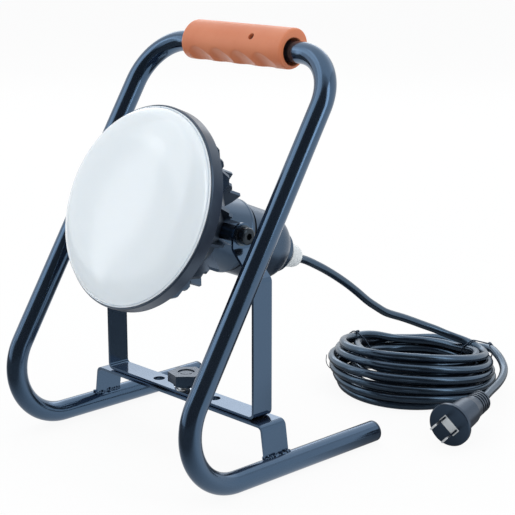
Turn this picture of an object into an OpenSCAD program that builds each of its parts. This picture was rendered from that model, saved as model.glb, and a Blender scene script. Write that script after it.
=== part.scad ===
// Portable work light: a bent tube stand with an orange grip, a yoke that pans on a welded
// crossbar, a finned lamp head that tilts in the yoke, and a coiled mains cord with its plug.
// Millimetres. +Z is up and the lamp faces -Y. The origin lies on the ground, under the middle
// of the object without its cord.

/* [Stand] */
// Distance between the centre lines of the two legs
stand_w = 202; // [198:1:230]
// Outside diameter of the stand's tube
tube_d = 16; // [14:0.5:18]
// Wall thickness of the stand's tube
tube_wall = 1.5; // [1:0.1:2.5]
// Angle of the legs above the ground, in degrees
leg_angle = 58.4; // [56:0.1:62]
// Length of a leg's centre line from corner to corner
leg_len = 338; // [330:1:360]
// Centre line radius of the bends from runner to leg
foot_bend_r = 42.5; // [36:0.5:48]
// Centre line radius of the bends from leg to top bar
top_bend_r = 39.5; // [32:0.5:42]
// Length of a runner from its centre line corner to the end of its plug
runner_len = 219; // [205:1:240]
// Thickness of the head of a runner's end plug
cap_head = 2; // [1:0.25:4]
// Length of the plug inside the tube
cap_depth = 10; // [5:0.5:20]

/* [Handle grip] */
// Length of the grip
grip_len = 106; // [96:1:114]
// Long diameter of the grip's oval
grip_long = 31.6; // [30:0.2:34]
// Short diameter of the grip's oval
grip_short = 27.4; // [26.6:0.2:29]
// Angle of the oval's long axis above the ground, in degrees
grip_lean = 48; // [40:1:60]
// Distance from one finger groove to the next
groove_pitch = 22.8; // [20:0.2:24]
// Depth of the finger grooves
groove_depth = 3.4; // [2:0.1:4]
// Length over which the grip's ends are rounded
grip_round = 3; // [2:0.5:11]
// Radial gap round the tube in the recess at each end of the grip
grip_gap = 2; // [1.2:0.1:2.2]
// Depth of that recess
grip_recess = 12; // [6:1:18]
// Diameter of the hole for the grip's screw
screw_hole_d = 5.2; // [5:0.1:8]

/* [Crossbar] */
// Distance of the pan axis behind the corner of the runners' centre lines
pan_y = 118; // [112:1:124]
// Width of the crossbar's strip
bar_w = 23.5; // [20:0.5:28]
// Thickness of the crossbar's strip
bar_t = 2; // [1.5:0.25:3]
// Height of the crossbar's flat top above the runners
bar_rise = 22.9; // [18:0.1:28]
// Distance of the crossbar's outer bends inside the legs' centre lines
bar_inset = 7; // [5:0.5:9]
// Distance of the crossbar's feet inside the legs' centre lines
foot_inset = 2.5; // [0:0.5:4]
// Radius of the weld beads
weld_r = 2; // [1:0.25:2.5]

/* [Yoke] */
// Outside width of the yoke between its two arms
yoke_span = 167.4; // [164:0.2:172]
// Width of the yoke's strip
yoke_w = 18; // [16:0.5:22]
// Thickness of the yoke's strip
yoke_t = 2; // [1.5:0.25:3]
// Height of the tilt axis above the underside of the yoke
tilt_h = 131.9; // [124:0.1:142]
// Outside width between the two ears
ear_span = 126; // [124:0.5:132]
// Straight length of an ear below the tilt axis
ear_drop = 9.3; // [8.5:0.1:12]
// Diameter of the two spare holes
spare_hole_d = 9; // [6:0.5:11]
// Distance between the two spare holes
spare_pitch = 64; // [56:1:72]

/* [Pan pivot] */
// Diameter of the pan bolt
pan_bolt_d = 8; // [6:0.5:9]
// Diameter of the friction disc under the yoke
disc_d = 19; // [15:0.5:24]
// Thickness of the friction disc under the yoke
disc_t = 0.5; // [0.4:0.1:2]
// Diameter of the flat washer under the knob
pan_washer_d = 18; // [15:0.5:20]
// Thickness of the flat washer under the knob
pan_washer_t = 1.2; // [0.8:0.1:2]
// Thickness of the spring washer under the knob
spring_washer_t = 1.8; // [1.2:0.1:2.5]
// Diameter of the knob over its corners
knob_d = 28; // [26:0.2:36]
// Height of the knob
knob_h = 10; // [9:0.5:14]
// Distance across the knob from flat to flat
knob_flats = 23.6; // [22:0.2:30]
// Running clearance of a pivot bore round its bolt
run_gap = 0.08; // [0.02:0.01:0.1]

/* [Tilt pivot] */
// Diameter of the two tilt bolts
tilt_bolt_d = 6; // [5:0.5:7]
// Diameter of the bolt heads
bolt_head_d = 12.6; // [11:0.2:15]
// Height of the bolt heads
bolt_head_h = 5.8; // [4:0.1:7]
// Diameter of the bright washers under the bolt heads
tilt_washer_d = 15; // [13:0.2:15]
// Thickness of those washers
tilt_washer_t = 1.2; // [0.8:0.1:1.8]
// Diameter of the bosses on the lamp head
boss_d = 12; // [10:0.5:14]
// Thickness of the friction discs between boss and ear
tilt_disc_t = 0.8; // [0.4:0.1:1.5]

/* [Lamp head] */
// Angle of the lamp's axis above level as it stands, in degrees
lamp_tilt = 22; // [10:1:30]
// Diameter of the black front ring
ring_d = 151; // [146:1:154]
// Distance from the tilt axis to the back of the front ring
ring_s = 37; // [34:0.5:40]
// Length of the front ring along the lamp's axis
ring_len = 11.4; // [10:0.2:14]
// Wall of the front ring round the lens
ring_wall = 1.5; // [1:0.1:2.5]
// Height of the lens dome in front of its flange
dome_h = 13; // [9:0.5:18]
// Wall thickness of the lens
lens_wall = 2; // [1.5:0.1:3]
// Number of cooling fins
fins = 16; // [12:4:20]
// Thickness of a fin
fin_t = 2.4; // [1.8:0.1:3]
// Wall thickness of the heat sink's cone
cone_wall = 3; // [2:0.25:4]
// Diameter of the cone's narrow end
cone_d = 79; // [74:1:84]
// Diameter over the tips of the fins
fin_tip_d = 103; // [98:1:106]

/* [Driver drum] */
// Diameter of the collar at the heat sink
collar_front_d = 48; // [44:1:52]
// Diameter of the collar at its open end
collar_d = 58.4; // [54:0.2:62]
// Length of the collar
collar_len = 34; // [28:1:38]
// Width of the groove between collar and rear drum
groove_w = 4; // [2:0.5:6]
// Diameter of the rear drum
drum_d = 55; // [52:0.5:57]
// Length of the rear drum
drum_len = 45; // [38:1:50]
// Diameter of the rear drum's flat end
drum_end_d = 44; // [42:1:48]
// Wall thickness of collar and drum
drum_wall = 2.5; // [2:0.25:3.5]
// Diameter of the stepped end cap
end_cap_d = 38; // [32:1:41]
// Height of the stepped end cap
end_cap_h = 10.5; // [8:0.5:13]
// Diameter of the gland nut
nut_d = 19.6; // [17:0.2:23]
// Length of the gland nut
nut_len = 13; // [11:0.5:16]

/* [Electronics] */
// Diameter of the round board that carries the light sources
led_board_rim = 8.5; // [7:0.5:14]
// Thickness of that board
led_board_t = 1.6; // [1:0.1:2.4]
// Side of one light source
chip_side = 3.5; // [2.5:0.25:5]
// Length of the driver board
board_len = 56; // [48:1:60]
// Width of the driver board
board_w = 36; // [32:1:37]
// Thickness of the driver board
board_t = 1.6; // [1:0.1:2]

/* [Cord and plug] */
// Diameter of the mains cord
cord_d = 6.8; // [6:0.1:8]
// Inside diameter of the coil
coil_in_d = 82; // [76:1:96]
// Outside diameter of the coil
coil_out_d = 142; // [136:1:150]
// Height of the coil in its middle: its top slopes
coil_h = 36; // [32:1:42]
// Diameter of the plug's flange
plug_d = 34; // [30:0.5:36]
// Length of the plug without its blades
plug_len = 57; // [50:1:64]
// Distance between the two blades
blade_pitch = 12.7; // [12:0.1:13.5]
// Length of a blade
blade_len = 17; // [15:0.5:19]

/* [Hidden] */
$fn = 64;

// Colours
paint = [0.13, 0.16, 0.20];
orange = [0.85, 0.42, 0.26];
steel = [0.75, 0.77, 0.80];
black = [0.08, 0.09, 0.11];
milky = [0.88, 0.92, 0.95];
pale = [0.80, 0.83, 0.84];

// Stand
tube_r = tube_d / 2;
bore_r = tube_r - tube_wall;
side_x = stand_w / 2;
foot_turn = 180 - leg_angle;
foot_tangent = foot_bend_r * tan(foot_turn / 2);
top_y = leg_len * cos(leg_angle);
top_z = tube_r + leg_len * sin(leg_angle);
top_half = side_x - top_bend_r;

// Crossbar, pan pivot and yoke heights
bar_top = tube_d + bar_rise;
bar_under = bar_top - bar_t;
bar_flat = side_x - bar_inset;
bar_foot = side_x - foot_inset;
strip_bend_r = 4;
yoke_z = bar_top + disc_t;
yoke_top = yoke_z + yoke_t;
washer_z = yoke_top + pan_washer_t;
knob_z = washer_z + spring_washer_t;
knob_top = knob_z + knob_h;
tilt_z = yoke_z + tilt_h;
pan_r = pan_bolt_d / 2;
neck_side = pan_bolt_d;

// Tilt pivot, measured along X from the middle
ear_out = ear_span / 2;
ear_in = ear_out - yoke_t;
boss_end = ear_in - tilt_disc_t;
bolt_seat = ear_out + tilt_washer_t;
tilt_r = tilt_bolt_d / 2;
bolt_grip = 14;

// Lamp head, measured along the lamp's axis from the tilt axis
plate_t = 4;
lens_r = ring_d / 2 - ring_wall;
seat_r = lens_r - 3;
gasket_t = 0.8;
flange_t = 4;
flange_s = ring_s + ring_len - 3;
lens_s = flange_s + flange_t;
sink_r = ring_d / 2 - 2.5;
cone_back = -2;
hub_wall = 4;
hub_r = collar_front_d / 2;
hub_len = 10;
collar_s = cone_back - hub_len;
seal_s = collar_s - collar_len;
drum_s = seal_s - groove_w;
drum_end = drum_s - drum_len;
cap_end = drum_end - end_cap_h;
gland_neck = 7.5;
nut_s = cap_end - gland_neck;
nut_end = nut_s - nut_len;
drum_r = drum_d / 2;
drum_in = drum_r - drum_wall;
seal_in = drum_in - 5.5;
cord_r = cord_d / 2;

// Place of the origin: half way between the front of the stand and its hindmost point
front_y = foot_tangent - foot_bend_r - tube_r;
nut_mouth_r = nut_d / 2 - 2;
nut_reach = pan_y - nut_end * cos(lamp_tilt) + nut_mouth_r * sin(lamp_tilt);
back_y = max(runner_len, nut_reach);
origin_y = (front_y + back_y) / 2;

// Cord routes in the part's own frame: the first two points of the lead follow the gland
gland_exit = [0, pan_y - origin_y - nut_end * cos(lamp_tilt), tilt_z + nut_end * sin(lamp_tilt)];
gland_out = [0, cos(lamp_tilt), -sin(lamp_tilt)];
lead_points = concat([gland_exit, gland_exit + gland_out * 15],
    [[4, 132, 110], [6, 146, 101], [8, 157, 93], [9.5, 167, 85], [11, 179, 75], [12.5, 189, 68],
     [14.5, 200, 61], [19, 218, 53.5], [26, 236, 45], [36, 251, 37.5], [47, 262, 31.5], [58, 266, 26]]);
coil_x = 34;
coil_y = 210;
tail_points = [[40, 273.5, 21], [53, 276.5, 23.5], [66, 275.8, 25.5], [81, 267.2, 25],
    [93.8, 257.7, 23], [104.3, 246.6, 21], [113.9, 231, 20], [122.2, 212.9, 20], [129.5, 195, 21]];
plug_face = [149, 119, 17];
plug_turn = 11;
plug_lift = -5;
plug_roll = -43;

// Places children measured from the runners' corners into the part's frame
module from_corner() { translate([0, -origin_y, 0]) children(); }

// Places children drawn about the lamp's axis: X across, Y up the lamp, Z forward
module on_lamp() {
    from_corner() translate([0, pan_y, tilt_z]) rotate([90 - lamp_tilt, 0, 0]) children();
}

// Both sides of the object, as mirror images
module both_sides() {
    children();
    mirror([1, 0, 0]) children();
}

module on_pan_axis(z) { from_corner() translate([0, pan_y, z]) children(); }

// A flat ring
module washer(r_out, r_in, h) {
    linear_extrude(h) difference() {
        circle(r_out);
        circle(r_in);
    }
}

// --- bent strips: a centre line with round bends, given a thickness ---
function unit(v) = v / norm(v);
function left_of(v) = [-v[1], v[0]] / norm(v);
function turn_of(u, v) = sign(u[0] * v[1] - u[1] * v[0]);
// Points and normals round the bend at b between a and c
function bend(a, b, c, r, steps = 6) =
    let (u = unit(b - a), v = unit(c - b), side = turn_of(u, v),
         half = acos(u * v) / 2, start = b - u * r * tan(half),
         centre = start + left_of(u) * side * r)
    [for (i = [0:steps]) let (t = i / steps * 2 * half * side, w = left_of(u),
        n = [w[0] * cos(t) - w[1] * sin(t), w[0] * sin(t) + w[1] * cos(t)])
        [centre - n * side * r, n]];
function strip_line(p, r) = concat([[p[0], left_of(p[1] - p[0])]],
    [for (i = [1:len(p) - 2]) each bend(p[i - 1], p[i], p[i + 1], r)],
    [[p[len(p) - 1], left_of(p[len(p) - 1] - p[len(p) - 2])]]);
module strip(p, t, w, r) {
    line = strip_line(p, r);
    n = len(line);
    rotate([90, 0, 0]) linear_extrude(w, center = true)
        polygon(concat([for (q = line) q[0] + q[1] * t / 2],
                       [for (i = [n - 1:-1:0]) line[i][0] - line[i][1] * t / 2]));
}

// --- swept cords: rings of points joined into one closed skin ---
cord_sides = 10;
function tangent_at(p, i) = unit(p[min(i + 1, len(p) - 1)] - p[max(i - 1, 0)]);
function ring_at(c, t, r, side) =
    let (u = unit(cross(t, side)), v = cross(t, u))
    [for (k = [0:cord_sides - 1]) let (a = 360 * k / cord_sides) c + u * r * cos(a) + v * r * sin(a)];
module cord(p, r, side, first) {
    n = len(p);
    rings = [for (i = [0:n - 1]) ring_at(p[i], i == 0 ? first : tangent_at(p, i), r, side)];
    skin = [for (i = [0:n - 2], k = [0:cord_sides - 1])
        let (a = i * cord_sides + k, b = i * cord_sides + (k + 1) % cord_sides)
        [a, b, b + cord_sides, a + cord_sides]];
    polyhedron(points = [for (q = rings) each q], convexity = 6,
        faces = concat(skin, [[for (k = [cord_sides - 1:-1:0]) k]],
            [[for (k = [0:cord_sides - 1]) (n - 1) * cord_sides + k]]));
}

// ---------------------------------------------------------------- stand
tube_sides = 24;
foot_steps = 14;
top_steps = 10;
// Points of one half of the tube's centre line, from the end of the runner to the top bar
function half_line() =
    let (lean = [cos(leg_angle), sin(leg_angle)],
         foot = [for (i = [0:foot_steps]) let (a = 270 - foot_turn * i / foot_steps)
             [side_x, foot_tangent + foot_bend_r * cos(a), tube_r + foot_bend_r * (1 + sin(a))]],
         top = [for (i = [0:top_steps])
             let (a = 90 * i / top_steps, d = leg_len - top_bend_r * (1 - sin(a)))
             [top_half + top_bend_r * cos(a), d * lean[0], tube_r + d * lean[1]]])
    concat([[side_x, runner_len - cap_head, tube_r]], foot, top);
// A ring of the tube at point i of line p: square to the line, and mitred where the line turns
function tube_ring(p, i, r) =
    let (before = i == 0 ? unit(p[1] - p[0]) : unit(p[i] - p[i - 1]),
         after = i == len(p) - 1 ? before : unit(p[i + 1] - p[i]),
         t = unit(before + after), stretch = 1 / (t * before),
         v = abs(t[0]) > 0.001 ? [0, sin(leg_angle), -cos(leg_angle)] : cross(t, [sign(p[i][0]), 0, 0]),
         u = cross(v, t),
         bent = norm(after - before) > 0.0001 ? unit(after - before) : u)
    [for (k = [0:tube_sides - 1]) let (a = 360 * k / tube_sides, w = (u * cos(a) + v * sin(a)) * r)
        p[i] + w + bent * (w * bent) * (stretch - 1)];

module stand_tube() {
    half = half_line();
    n = len(half);
    line = concat(half, [for (i = [n - 1:-1:0]) [-half[i][0], half[i][1], half[i][2]]]);
    last = 2 * n - 1;
    inner_r = bore_r / cos(180 / tube_sides);
    rings = concat([for (i = [0:last]) tube_ring(line, i, tube_r)],
                   [for (i = [last:-1:0]) tube_ring(line, i, inner_r)]);
    faces = [for (i = [0:2 * last + 1], k = [0:tube_sides - 1])
        let (j = (i + 1) % (2 * last + 2), m = (k + 1) % tube_sides)
        [i * tube_sides + k, i * tube_sides + m, j * tube_sides + m, j * tube_sides + k]];
    color(paint) from_corner() polyhedron(points = [for (q = rings) each q], faces = faces, convexity = 10);
}

module runner_caps() {
    color(black) from_corner() both_sides()
        translate([side_x, runner_len, tube_r]) rotate([90, 0, 0]) {
            cylinder(cap_head, r = tube_r);
            cylinder(cap_head + cap_depth, r = bore_r);
        }
}

// ---------------------------------------------------------------- handle grip
grip_shift = [0.2, 2.1];
// Angle that the finger grooves face
groove_turn = 217;
grip_x = 0.6;
grip_end_share = 0.97;
grip_bore_r = tube_r + 0.05;
grip_recess_r = tube_r + grip_gap;
grip_sides = 40;
end_rings = 6;
span_rings = 40;
// Distance from the tube's centre to the oval, at angle a about the tube
function oval_r(a) =
    let (u = [cos(a - grip_lean), sin(a - grip_lean)],
         q = [grip_shift[0] * cos(grip_lean) + grip_shift[1] * sin(grip_lean),
              grip_shift[1] * cos(grip_lean) - grip_shift[0] * sin(grip_lean)],
         m = [2 / grip_long, 2 / grip_short],
         k = pow(u[0] * m[0], 2) + pow(u[1] * m[1], 2),
         b = -(u[0] * q[0] * pow(m[0], 2) + u[1] * q[1] * pow(m[1], 2)),
         c = pow(q[0] * m[0], 2) + pow(q[1] * m[1], 2) - 1)
    (-b + sqrt(b * b - k * c)) / k;
// Share of the finger groove at x and angle a: deepest under the fingers, in front and below
function groove(x, a) =
    let (wave = (1 + cos(360 * (x - groove_pitch / 2) / groove_pitch)) / 2,
         inside = abs(x) < 2 * groove_pitch ? 1 : 0,
         front = max(0, cos(a - groove_turn)))
    groove_depth * wave * inside * pow(front, 1.5);
function grip_r(x, a) =
    let (d = grip_len / 2 - abs(x),
         full = oval_r(a) - groove(x, a),
         low = full * grip_end_share,
         s = d >= grip_round ? 1 : sqrt(max(0, 1 - pow(1 - d / grip_round, 2))))
    low + (full - low) * s;
function skin_ring(x, a_step = 360 / grip_sides) =
    [for (k = [0:grip_sides - 1]) let (a = k * a_step, r = grip_r(x, a)) [x, r * cos(a), r * sin(a)]];
function round_ring(x, r) =
    let (rr = r / cos(180 / grip_sides))
    [for (k = [0:grip_sides - 1]) let (a = k * 360 / grip_sides) [x, rr * cos(a), rr * sin(a)]];
module grip_solid() {
    half = grip_len / 2;
    flat = half - grip_round;
    ends = [for (i = [0:end_rings - 1]) half - grip_round * (1 - cos(90 * i / end_rings))];
    xs = concat([for (x = ends) -x], [for (i = [0:span_rings]) -flat + 2 * flat * i / span_rings],
                [for (i = [end_rings - 1:-1:0]) ends[i]]);
    inner = half - grip_recess;
    rings = concat([for (x = xs) skin_ring(x)],
        [round_ring(half, grip_recess_r), round_ring(inner, grip_recess_r),
         round_ring(inner, grip_bore_r), round_ring(-inner, grip_bore_r),
         round_ring(-inner, grip_recess_r), round_ring(-half, grip_recess_r)]);
    n = len(rings);
    faces = [for (i = [0:n - 1], k = [0:grip_sides - 1])
        let (j = (i + 1) % n, m = (k + 1) % grip_sides)
        [i * grip_sides + k, i * grip_sides + m, j * grip_sides + m, j * grip_sides + k]];
    polyhedron(points = [for (q = rings) each q], faces = faces, convexity = 8);
}

// Axis of the grip's screw: its Z points out of the front of the grip
screw_x = 21.5;
screw_angle = 139;
screw_r = 1.5;
screw_head_r = screw_hole_d / 2 - 0.3;
screw_head_h = 2;
screw_floor = tube_r + 2;
module screw_axis() {
    translate([screw_x, top_y, top_z]) rotate([screw_angle, 0, 0]) rotate([-90, 0, 0]) children();
}

module handle_grip() {
    color(orange) from_corner() difference() {
        translate([grip_x, top_y, top_z]) grip_solid();
        screw_axis() cylinder(screw_floor + 1, r = screw_r);
        screw_axis() translate([0, 0, screw_floor]) cylinder(20, r = screw_hole_d / 2);
    }
}

module grip_screw() {
    color(steel) from_corner() screw_axis() {
        translate([0, 0, tube_r]) cylinder(screw_floor - tube_r, r = screw_r);
        translate([0, 0, screw_floor]) difference() {
            cylinder(screw_head_h, r = screw_head_r);
            translate([0, 0, screw_head_h]) cube([4, 0.9, 2], center = true);
        }
    }
}

// ---------------------------------------------------------------- crossbar and pan pivot
module bar_shape() {
    mid = bar_under + bar_t / 2;
    strip([[-bar_foot, tube_r], [-bar_flat, mid], [bar_flat, mid], [bar_foot, tube_r]],
        bar_t, bar_w, strip_bend_r);
}

module runner_rods() {
    both_sides() translate([side_x, 0, tube_r]) rotate([-90, 0, 0]) cylinder(runner_len, r = tube_r);
}

module crossbar() {
    color(paint) from_corner() difference() {
        translate([0, pan_y, 0]) bar_shape();
        runner_rods();
        translate([0, pan_y, bar_under]) cube([neck_side, neck_side, 4 * bar_t], center = true);
        for (x = [-1, 1]) translate([x * spare_pitch / 2, pan_y, bar_under - 1])
            cylinder(bar_t + 2, r = spare_hole_d / 2);
    }
}

// Beads in the corners between the crossbar's feet and the runners
module weld_beads() {
    foot = bar_foot;
    toe = sqrt(pow(tube_r, 2) - pow(foot_inset, 2));
    color(paint) from_corner() difference() {
        both_sides() for (s = [-1, 1])
            translate([foot + s * (bar_t / 2 + weld_r * 0.4), pan_y, tube_r + toe])
                rotate([90, 0, 0]) cylinder(bar_w, r = weld_r, center = true);
        runner_rods();
        translate([0, pan_y, 0]) bar_shape();
    }
}

pan_head_r = 7.5;
pan_head_h = 1.8;
bolt_top = knob_top - 3;
module pan_bolt() {
    color(steel) on_pan_axis(bar_under) {
        translate([0, 0, -pan_head_h]) rotate_extrude() polygon([[0, 0], [pan_head_r - 1.2, 0],
            [pan_head_r, 0.8], [pan_head_r, pan_head_h], [0, pan_head_h]]);
        translate([0, 0, bar_t / 2]) cube([neck_side, neck_side, bar_t], center = true);
        cylinder(bolt_top - bar_under, r = pan_r);
    }
}

module friction_disc() {
    color(black) on_pan_axis(bar_top) washer(disc_d / 2, pan_r + 0.3, disc_t);
}

module pan_washer() {
    color(steel) on_pan_axis(yoke_top) washer(pan_washer_d / 2, pan_r + run_gap, pan_washer_t);
}

module pan_spring_washer() {
    color(steel) on_pan_axis(washer_z) difference() {
        washer(pan_r + 3, pan_r + run_gap, spring_washer_t);
        rotate([25, 0, 0]) translate([pan_r + 2, 0, 0]) cube([6, 0.6, 4 * spring_washer_t], center = true);
    }
}

// ---------------------------------------------------------------- knob
knob_stem_r = 9.8;
knob_stem_h = 2.6;
knob_rest = 46;
side_cut_r = 60;
pocket_r = 7.5;
pocket_h = 6.5;
cap_seat = 2.2;
knob_cap_r = 6.5;
knob_cap_h = 1.4;
module pan_knob() {
    color(black) on_pan_axis(knob_z) difference() {
        union() {
            cylinder(knob_stem_h, r = knob_stem_r);
            translate([0, 0, knob_stem_h]) difference() {
                cylinder(knob_h - knob_stem_h, r = knob_d / 2);
                for (i = [0:5]) rotate([0, 0, knob_rest + 60 * i + 30])
                    translate([knob_flats / 2 + side_cut_r, 0, -1]) cylinder(knob_h, r = side_cut_r);
            }
        }
        translate([0, 0, -1]) cylinder(knob_h, r = pan_r + 0.4);
        translate([0, 0, -1]) cylinder(pocket_h + 1, r = pocket_r, $fn = 6);
        translate([0, 0, knob_h - cap_seat]) cylinder(cap_seat + 1, r = knob_cap_r);
    }
}

module knob_cap() {
    color(black) on_pan_axis(knob_top - cap_seat) {
        cylinder(knob_cap_h, r = knob_cap_r);
        translate([0, 0, knob_cap_h]) cylinder(0.3, r = knob_cap_r - 2.2);
    }
}

module knob_nut() {
    color(steel) on_pan_axis(knob_z) difference() {
        cylinder(pocket_h, r = pocket_r, $fn = 6);
        translate([0, 0, -1]) cylinder(knob_h, r = pan_r + run_gap);
    }
}

// ---------------------------------------------------------------- yoke
module yoke() {
    arm_x = yoke_span / 2 - yoke_t / 2;
    ear_x = ear_out - yoke_t / 2;
    crank = arm_x - ear_x;
    low = yoke_z + yoke_t / 2;
    ear_low = tilt_z - ear_drop;
    side = [[ear_x, tilt_z + yoke_w], [ear_x, ear_low], [arm_x, ear_low - crank], [arm_x, low]];
    line = concat(side, [for (i = [3:-1:0]) [-side[i][0], side[i][1]]]);
    color(paint) from_corner() translate([0, pan_y, 0]) difference() {
        intersection() {
            strip(line, yoke_t, yoke_w, strip_bend_r);
            union() {
                translate([-stand_w, -yoke_w, 0]) cube([2 * stand_w, 2 * yoke_w, tilt_z]);
                translate([-stand_w, 0, tilt_z]) rotate([0, 90, 0]) cylinder(2 * stand_w, r = yoke_w / 2);
            }
        }
        translate([-stand_w, 0, tilt_z]) rotate([0, 90, 0])
            cylinder(2 * stand_w, r = tilt_r + run_gap);
        translate([0, 0, yoke_z - 1]) cylinder(yoke_t + 2, r = pan_r + run_gap);
        for (x = [-1, 1]) translate([x * spare_pitch / 2, 0, yoke_z - 1])
            cylinder(yoke_t + 2, r = spare_hole_d / 2);
    }
}

// ---------------------------------------------------------------- tilt pivot
module along_x(x) { translate([x, 0, 0]) rotate([0, 90, 0]) children(); }

module tilt_bolts() {
    color(black) on_lamp() both_sides() {
        along_x(boss_end - bolt_grip) cylinder(bolt_seat - boss_end + bolt_grip, r = tilt_r);
        along_x(bolt_seat) difference() {
            rotate_extrude() polygon([[0, 0], [bolt_head_d / 2, 0], [bolt_head_d / 2, bolt_head_h - 1.5],
                [bolt_head_d / 2 - 0.5, bolt_head_h - 0.5], [bolt_head_d / 2 - 1.6, bolt_head_h],
                [0, bolt_head_h]]);
            translate([0, 0, bolt_head_h - 3]) cylinder(4, r = tilt_r - 0.3, $fn = 6);
        }
    }
}

module tilt_washers() {
    color(steel) on_lamp() both_sides() along_x(ear_out)
        washer(tilt_washer_d / 2, tilt_r + 0.1, tilt_washer_t);
}

module tilt_discs() {
    color(black) on_lamp() both_sides() along_x(boss_end)
        washer(boss_d / 2, tilt_r + 0.1, tilt_disc_t);
}

// ---------------------------------------------------------------- heat sink
cone_slope = (sink_r - cone_d / 2) / (ring_s - cone_back);
throat_r = hub_r - hub_wall;
wire_hole_r = 5;
cone_in = cone_d / 2 - cone_wall + cone_slope * hub_wall;
plate_s = ring_s - plate_t;
plate_in = cone_in + cone_slope * (plate_s - cone_back - hub_wall);
tip_r = fin_tip_d / 2;
module fin() {
    rotate([90, 0, 0]) linear_extrude(fin_t, center = true) polygon([
        [sink_r - 2, ring_s - 1.4], [cone_d / 2 - 1, cone_back + 1], [hub_r - 1, cone_back + 1],
        [hub_r - 1, -8], [cone_d / 2 + 3, -8], [tip_r, -6.5], [tip_r, 4.4], [tip_r - 2.4, 5],
        [tip_r + 3.6, 6], [tip_r + 6.8, 9.5], [tip_r + 7.6, 13.5], [tip_r + 14.6, 20.4],
        [tip_r + 16.5, 26], [sink_r - 1.2, ring_s - 0.6]]);
}
module heat_sink() {
    color(paint) on_lamp() difference() {
        union() {
            rotate_extrude() polygon([[wire_hole_r, ring_s], [sink_r, ring_s], [cone_d / 2, cone_back],
                [hub_r, cone_back], [hub_r, collar_s], [throat_r, collar_s],
                [throat_r, cone_back + hub_wall], [cone_in, cone_back + hub_wall],
                [plate_in, plate_s], [wire_hole_r, plate_s]]);
            for (i = [0:fins - 1]) rotate([0, 0, 360 * (i + 0.5) / fins]) fin();
            both_sides() along_x(cone_d / 2 - 4) cylinder(boss_end - cone_d / 2 + 4, r = boss_d / 2);
        }
        both_sides() along_x(boss_end - bolt_grip) cylinder(bolt_grip + 1, r = tilt_r);
        on_screws() translate([0, 0, plate_s + 0.5]) cylinder(plate_t, r = board_screw_r);
    }
}

// ---------------------------------------------------------------- front of the lamp
module front_ring() {
    out = ring_d / 2;
    front = ring_s + ring_len;
    color(black) on_lamp() rotate_extrude() polygon([[seat_r, ring_s], [out - 1, ring_s],
        [out, ring_s + 1], [out, front - 1], [out - 0.5, front], [lens_r, front],
        [lens_r, flange_s - gasket_t], [seat_r, flange_s - gasket_t]]);
}

module lens_gasket() {
    color(black) on_lamp() translate([0, 0, flange_s - gasket_t])
        washer(lens_r - 0.4, seat_r, gasket_t);
}

// The dome rises steeply at its shoulder and is shallow over the middle
dome_power = 2.6;
shoulder = 0.7;
dome_steps = 20;
function dome(r, h, reach) = h * pow(max(0, 1 - pow(r / reach, dome_power)), shoulder);
module lens() {
    inner = lens_r - lens_wall;
    top = [for (i = [0:dome_steps]) let (r = lens_r * sin(90 * i / dome_steps))
        [r, lens_s + dome(r, dome_h, lens_r)]];
    under = [for (i = [dome_steps:-1:0]) let (r = inner * sin(90 * i / dome_steps))
        [r, lens_s + dome(r, dome_h - lens_wall, inner)]];
    color(milky) on_lamp() rotate_extrude()
        polygon(concat(top, [[lens_r, flange_s], [inner, flange_s]], under));
}

// ---------------------------------------------------------------- light sources
board_screw_r = 1.5;
board_s = ring_s + led_board_t;
led_board_d = ring_d - 2 * led_board_rim;
led_board_hold = 7;
module on_screws() {
    for (i = [0:3]) rotate([0, 0, 45 + 90 * i]) translate([led_board_d / 2 - led_board_hold, 0, 0]) children();
}

module led_board() {
    color(pale) on_lamp() difference() {
        translate([0, 0, ring_s]) cylinder(led_board_t, r = led_board_d / 2);
        on_screws() translate([0, 0, ring_s - 1]) cylinder(led_board_t + 2, r = board_screw_r);
    }
}

module led_chips() {
    color("gold") on_lamp() for (row = [[6, 0.16], [14, 0.36], [22, 0.58], [30, 0.79]], i = [0:row[0] - 1])
        rotate([0, 0, 360 * i / row[0]]) translate([row[1] * led_board_d / 2, 0, board_s + 0.4])
            cube([chip_side, chip_side, 0.8], center = true);
}

module board_screws() {
    color(steel) on_lamp() on_screws() {
        translate([0, 0, plate_s + 0.5]) cylinder(board_s - plate_s - 0.5, r = board_screw_r);
        translate([0, 0, board_s]) cylinder(1.8, r = 2 * board_screw_r);
    }
}

// ---------------------------------------------------------------- driver drum
lug_r = 3.2;
lug_ring = drum_in - 2.6;
lug_len = 9;
housing_screw_r = 1.4;
housing_head_r = 2.4;
housing_head_h = 2;
lip = 3;
module on_lugs() {
    for (a = [90, 210, 330]) rotate([0, 0, a]) translate([lug_ring, 0, 0]) children();
}

module driver_collar() {
    front = collar_front_d / 2;
    back = collar_d / 2;
    color(paint) on_lamp() difference() {
        union() {
            rotate_extrude() polygon([[throat_r, collar_s], [front, collar_s], [back - 0.4, seal_s + 3],
                [back, seal_s + 2], [back, seal_s], [seal_in + 3, seal_s], [seal_in + 3, seal_s + 2],
                [back - drum_wall, seal_s + 4], [front - drum_wall, collar_s - 3],
                [throat_r, collar_s - 3]]);
            on_lugs() translate([0, 0, seal_s]) cylinder(lug_len, r = lug_r);
        }
        on_lugs() translate([0, 0, seal_s - 1]) cylinder(lug_len - 1, r = housing_screw_r);
    }
}

module housing_seal() {
    color(black) on_lamp() difference() {
        translate([0, 0, drum_s]) washer(drum_in + 1.5, seal_in, groove_w);
        on_lugs() translate([0, 0, drum_s - 1]) cylinder(groove_w + 2, r = housing_screw_r);
    }
}

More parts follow.
